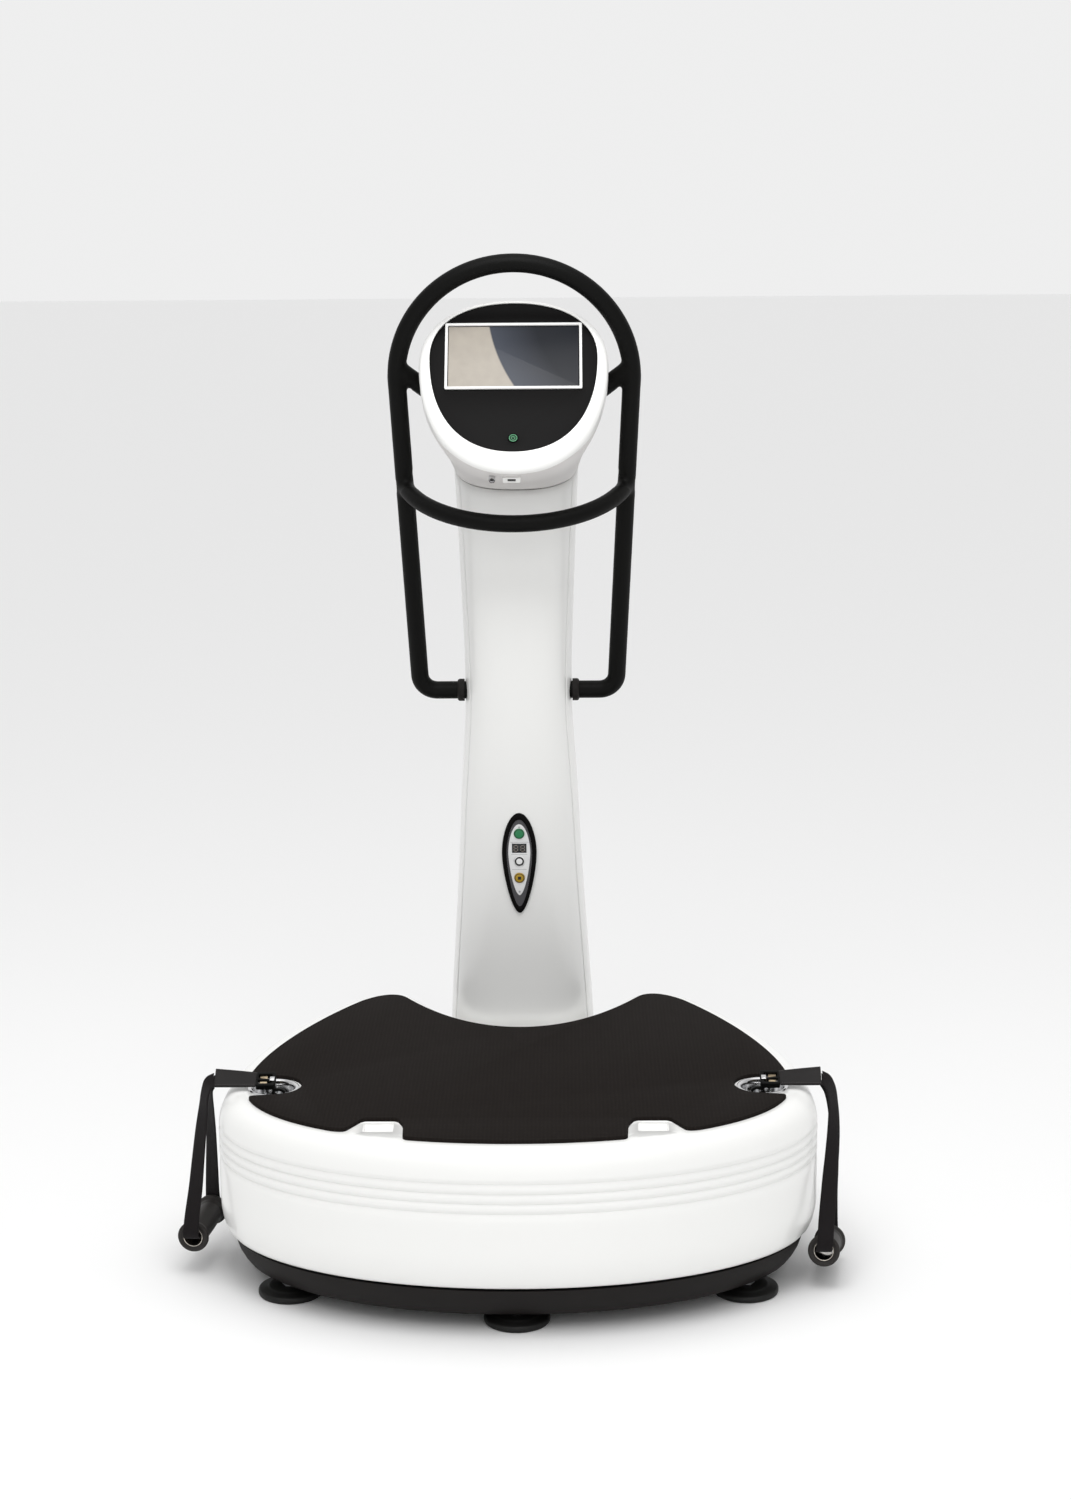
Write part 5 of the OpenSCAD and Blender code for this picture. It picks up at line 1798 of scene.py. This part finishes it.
RIGHT_ROUTE = (
    (473, -247, 309), (481, -251, 302), (487, -256, 287), (489, -265, 260), (488, -277, 231),
    (485, -291, 201), (481, -306, 171), (477, -323, 140), (473, -341, 110), (470, -359, 84),
    (468, -355, 67), (473, -325, 59), (479, -294, 51), (484, -265, 44), (489, -238, 37),
    (491, -224, 42), (491, -221, 60), (491, -223, 85), (491, -230, 115), (492, -237, 150),
    (492, -240, 190), (491, -243, 228), (487, -244, 262), (480, -244, 290), (472, -243, 304),
)
LEFT_ROUTE = (
    (473, -247, 309), (481, -252, 302), (486, -257, 287), (489, -263, 260), (493, -271, 225),
    (497, -279, 185), (501, -287, 145), (506, -296, 108), (508, -301, 88), (509, -302, 75),
    (508, -293, 66), (504, -266, 66), (500, -235, 66), (496, -205, 66), (492, -176, 66),
    (491, -167, 73), (491, -167, 86), (490, -175, 108), (488, -186, 145), (486, -197, 185),
    (484, -208, 225), (482, -221, 260), (480, -232, 284), (477, -239, 297), (472, -243, 304),
)


# ---- studio ----


@dataclass
class Studio:
    """Camera, floor and lights of a plain white studio."""

    distance: float = 4.19
    azimuth: float = math.radians(0.7)
    pitch: float = math.radians(12.2)
    roll: float = math.radians(0.44)
    height: float = 1.708
    across: float = 0.030
    forward: float = 0.115
    lens: float = 65.9
    front_sky: float = 0.58
    rear_sky: float = 0.86

    def build_camera(self) -> None:
        """A camera a little above the console, looking slightly down."""
        data = bpy.data.cameras.new("camera")
        data.sensor_fit = "VERTICAL"
        data.sensor_height = 36.0
        data.lens = self.lens
        camera = bpy.data.objects.new("camera", data)
        bpy.context.scene.collection.objects.link(camera)
        place = Vector((
            self.distance * math.sin(self.azimuth) + self.across,
            -self.distance * math.cos(self.azimuth) - self.forward, self.height))
        turn = (Matrix.Rotation(self.azimuth, 4, "Z")
                @ Matrix.Rotation(math.pi / 2 - self.pitch, 4, "X")
                @ Matrix.Rotation(-self.roll, 4, "Z"))
        camera.matrix_world = Matrix.Translation(place) @ turn
        bpy.context.scene.camera = camera

    def light(self, name: str, place: tuple[float, float, float], size: float, power: float,
              target: tuple[float, float, float] = (0, 0, 0.7)) -> None:
        """Adds a square soft light.

        Args:
            name: Its name.
            place: Where it hangs.
            size: Its side.
            power: Its power in watts.
            target: Where it points.
        """
        data = bpy.data.lights.new(name, "AREA")
        data.size = size
        data.energy = power
        lamp = bpy.data.objects.new(name, data)
        bpy.context.scene.collection.objects.link(lamp)
        lamp.location = place
        lamp.rotation_euler = (Vector(target) - Vector(place)).to_track_quat("-Z", "Y").to_euler()

    def overhead(self) -> None:
        """Adds a broad, even light from above, which keeps the floor pale out to the back."""
        data = bpy.data.lights.new("overhead", "SUN")
        data.energy = 0.75
        data.angle = math.radians(70)
        lamp = bpy.data.objects.new("overhead", data)
        bpy.context.scene.collection.objects.link(lamp)
        lamp.rotation_euler = (math.radians(8), 0, 0)

    def build(self) -> None:
        """Builds the floor, the lights and the sky."""
        scene = bpy.context.scene
        scene.view_settings.view_transform = "Standard"
        world = bpy.data.worlds.new("studio")
        scene.world = world
        world.use_nodes = True
        tree = world.node_tree
        way = (add(tree, "ShaderNodeTexCoord"), "Generated")
        depth = add(tree, "ShaderNodeSeparateXYZ", None, {0: way})
        glow = add(
            tree,
            "ShaderNodeMapRange",
            {"interpolation_type": "SMOOTHSTEP", "From Min": 0.05, "From Max": 0.9,
             "To Min": self.front_sky, "To Max": self.rear_sky},
            {"Value": (depth, 1)},
        )
        backdrop = tree.nodes["Background"]
        backdrop.inputs[0].default_value = (1, 1, 1, 1)
        tree.links.new(glow.outputs[0], backdrop.inputs[1])
        bm = bmesh.new()
        bmesh.ops.create_grid(bm, x_segments=1, y_segments=1, size=30)
        mesh = bpy.data.meshes.new("floor")
        bm.to_mesh(mesh)
        bm.free()
        paint = Finish("seamless_paper_white", "#F4F4F4", 0.9, mottle=0.0, relief_mm=0.0)
        mesh.materials.append(paint.material())
        floor = bpy.data.objects.new("floor", mesh)
        scene.collection.objects.link(floor)
        self.light("key", (-1.6, -3.4, 3.8), 2.4, 10, (0, 0, 0.5))
        self.light("fill", (1.7, -3.8, 2.9), 2.4, 7, (0, 0, 0.4))
        self.light("front_top", (0.0, -1.3, 3.0), 1.4, 27, (0, 0.1, 0.5))
        self.light("front", (0.0, -5.0, 1.3), 2.4, 8, (0, 0, 0.6))
        self.overhead()


def dress_carried_nodes() -> None:
    """Gives each CAD node that stays visible its finish."""
    for node, finish in CARRIED_FINISHES.items():
        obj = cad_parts[node]
        if obj.hide_render:
            continue
        for slot in obj.material_slots:
            slot.material = finish.material()
        LOG.info("%s keeps its shape in %s", node, finish.name)


def main() -> None:
    """Builds the machine, camera and cords first."""
    logging.basicConfig(level=logging.INFO, format="%(message)s")
    studio = Studio()
    studio.build_camera()
    handles = [StrapHandle(Side.LEFT, LEFT_ROUTE), StrapHandle(Side.RIGHT, RIGHT_ROUTE)]
    for handle in handles:
        handle.build_web()
    low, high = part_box("platform_shroud")
    platform = Platform(high.x, -low.y, high.z, low.z)
    platform.build()
    tray_low, tray_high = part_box("base_tray")
    Base(platform, tray_low.z, tray_high.z).build()
    column = Column()
    column.build()
    Handlebar().build()
    Console(column).build()
    RemotePanel(column).build()
    for handle in handles:
        handle.build()
    dress_carried_nodes()
    studio.build()


if __name__ == "__main__":
    main()
